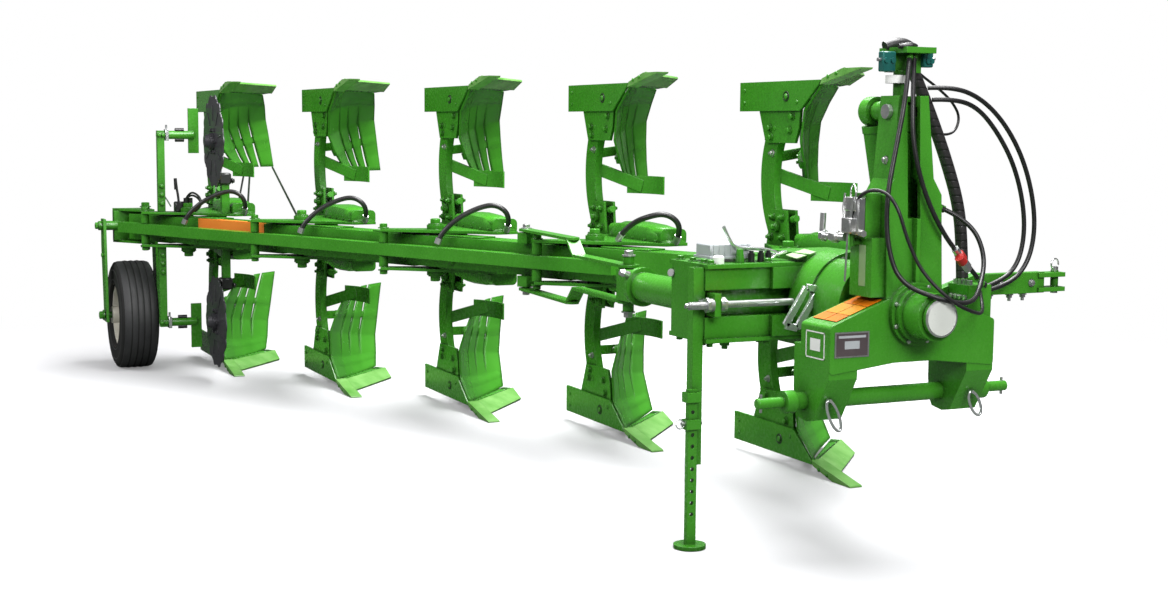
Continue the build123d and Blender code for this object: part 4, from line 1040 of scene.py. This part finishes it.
def fit_console_hoses():
    """Short hoses with silver fittings. The one on the second body starts on its plate."""
    for order in range(1, BODIES):
        body = f"body_{order + 1}"
        rubber = kit("short_hose", "rubber", body)
        ends = kit("hose_ends", "zinc", body)
        start = PLATE_START if order == 1 else RAIL_START
        points = bend_through([body_place(order, 1, *corner) for corner in start + HOSE_ARC])
        rubber.tube(points, HOSE_RADIUS, sides=14)
        ends.rod(points[0], points[4], FITTING_RADIUS, 6)
        ends.rod(points[-1], points[-4], FITTING_RADIUS, 6)


# Floor, backdrop and light
FLOOR_REACH = 40
FLOOR_MIDDLE = (-2.4, -0.4, 0)
FADE_START, FADE_END = 3.2, 6.0
FLOOR_GLOW = 0.19
AMBIENT = 0.22
MIRRORED = 0.16
WHITE = (1, 1, 1)


def plain_shader(nodes, kind, colour, strength=None):
    """Shader of one colour, and of a strength where it takes one."""
    node = nodes.new(kind)
    node.inputs["Color"].default_value = (*colour, 1)
    if strength is not None:
        node.inputs["Strength"].default_value = strength
    return node.outputs[0]


def mixed(nodes, links, factor, first, second):
    """The first shader, and the second where the factor is one."""
    node = nodes.new("ShaderNodeMixShader")
    links.new(factor, node.inputs["Fac"])
    links.new(first, node.inputs[1])
    links.new(second, node.inputs[2])
    return node.outputs["Shader"]


def floor_material():
    """Pale floor that turns to white with distance, and is darker for bounced light."""
    material, nodes, links, shader = new_material("floor_white")
    nodes.remove(shader)
    near = nodes.new("ShaderNodeAddShader")
    links.new(plain_shader(nodes, "ShaderNodeBsdfDiffuse", (0.52, 0.52, 0.535)), near.inputs[0])
    links.new(plain_shader(nodes, "ShaderNodeEmission", WHITE, FLOOR_GLOW), near.inputs[1])
    coord = nodes.new("ShaderNodeTexCoord")
    away = nodes.new("ShaderNodeVectorMath")
    away.operation = "DISTANCE"
    away.inputs[1].default_value = FLOOR_MIDDLE
    links.new(coord.outputs["Object"], away.inputs[0])
    fade = nodes.new("ShaderNodeMapRange")
    fade.interpolation_type = "SMOOTHSTEP"
    set_inputs(fade, {"From Min": FADE_START, "From Max": FADE_END})
    links.new(away.outputs["Value"], fade.inputs["Value"])
    white = plain_shader(nodes, "ShaderNodeEmission", WHITE, 1.0)
    seen = mixed(nodes, links, fade.outputs["Result"], near.outputs["Shader"], white)
    bounced = plain_shader(nodes, "ShaderNodeBsdfDiffuse", (0.20, 0.21, 0.20))
    mirrored = plain_shader(nodes, "ShaderNodeBsdfDiffuse", (0.07, 0.08, 0.07))
    path = nodes.new("ShaderNodeLightPath")
    unseen = mixed(nodes, links, path.outputs["Is Glossy Ray"], bounced, mirrored)
    whole = mixed(nodes, links, path.outputs["Is Camera Ray"], unseen, seen)
    links.new(whole, nodes["Material Output"].inputs["Surface"])
    return material


def make_floor():
    mesh = bpy.data.meshes.new("floor")
    corners = [(x * FLOOR_REACH, y * FLOOR_REACH, 0) for x, y in ((-1, -1), (1, -1), (1, 1), (-1, 1))]
    mesh.from_pydata(corners, [], [(0, 1, 2, 3)])
    floor = new_object("floor", mesh)
    floor.location.z = GROUND_Z - 0.001
    mesh.materials.append(floor_material())


def make_world():
    """White backdrop, dimmer as a light and dimmer still as a reflection."""
    world = bpy.data.worlds.new("studio")
    bpy.context.scene.world = world
    world.use_nodes = True
    nodes, links = world.node_tree.nodes, world.node_tree.links
    nodes.remove(nodes["Background"])
    ambient = plain_shader(nodes, "ShaderNodeBackground", WHITE, AMBIENT)
    backdrop = plain_shader(nodes, "ShaderNodeBackground", WHITE, 1.0)
    mirrored = plain_shader(nodes, "ShaderNodeBackground", WHITE, MIRRORED)
    path = nodes.new("ShaderNodeLightPath")
    seen = mixed(nodes, links, path.outputs["Is Camera Ray"], ambient, backdrop)
    whole = mixed(nodes, links, path.outputs["Is Glossy Ray"], seen, mirrored)
    links.new(whole, nodes["World Output"].inputs["Surface"])


def area_light(name, at, to, size, power):
    data = bpy.data.lights.new(name, "AREA")
    data.shape = "RECTANGLE"
    data.size, data.size_y = size
    data.energy = power
    lamp = new_object(name, data)
    lamp.location = at
    lamp.rotation_mode = "QUATERNION"
    lamp.rotation_quaternion = (Vector(to) - Vector(at)).to_track_quat("-Z", "Y")


def make_lights():
    area_light("top_light", (-2.2, 1.0, 5.5), (-2.5, -0.3, 0), (8.0, 2.6), 1300)
    area_light("front_light", (5.5, -1.0, 3.6), (-1.5, 0, 0.2), (3.0, 2.0), 330)
    area_light("side_light", (-3.0, -7.0, 4.5), (-2.8, -0.5, 0.2), (8.0, 1.6), 360)


make_camera()
dress_nodes()
make_hoses()
fit_mast()
fit_links()
fit_hub()
fit_valve()
fit_couplers()
fit_holder()
fit_spring_lever()
fit_left_shoulder()
fit_labels()
fit_casting()
fit_lock_handle()
fit_spindle()
fit_box()
fit_stand()
fit_width_tube()
fit_bodies()
fit_beam()
fit_band()
fit_carrier()
fit_wheel()
fit_discs()
fit_coulter_arms()
fit_last_console()
fit_console_hoses()
for small in KITS.values():
    small.build()
make_floor()
make_world()
make_lights()

scene = bpy.context.scene
scene.view_settings.view_transform = "Standard"
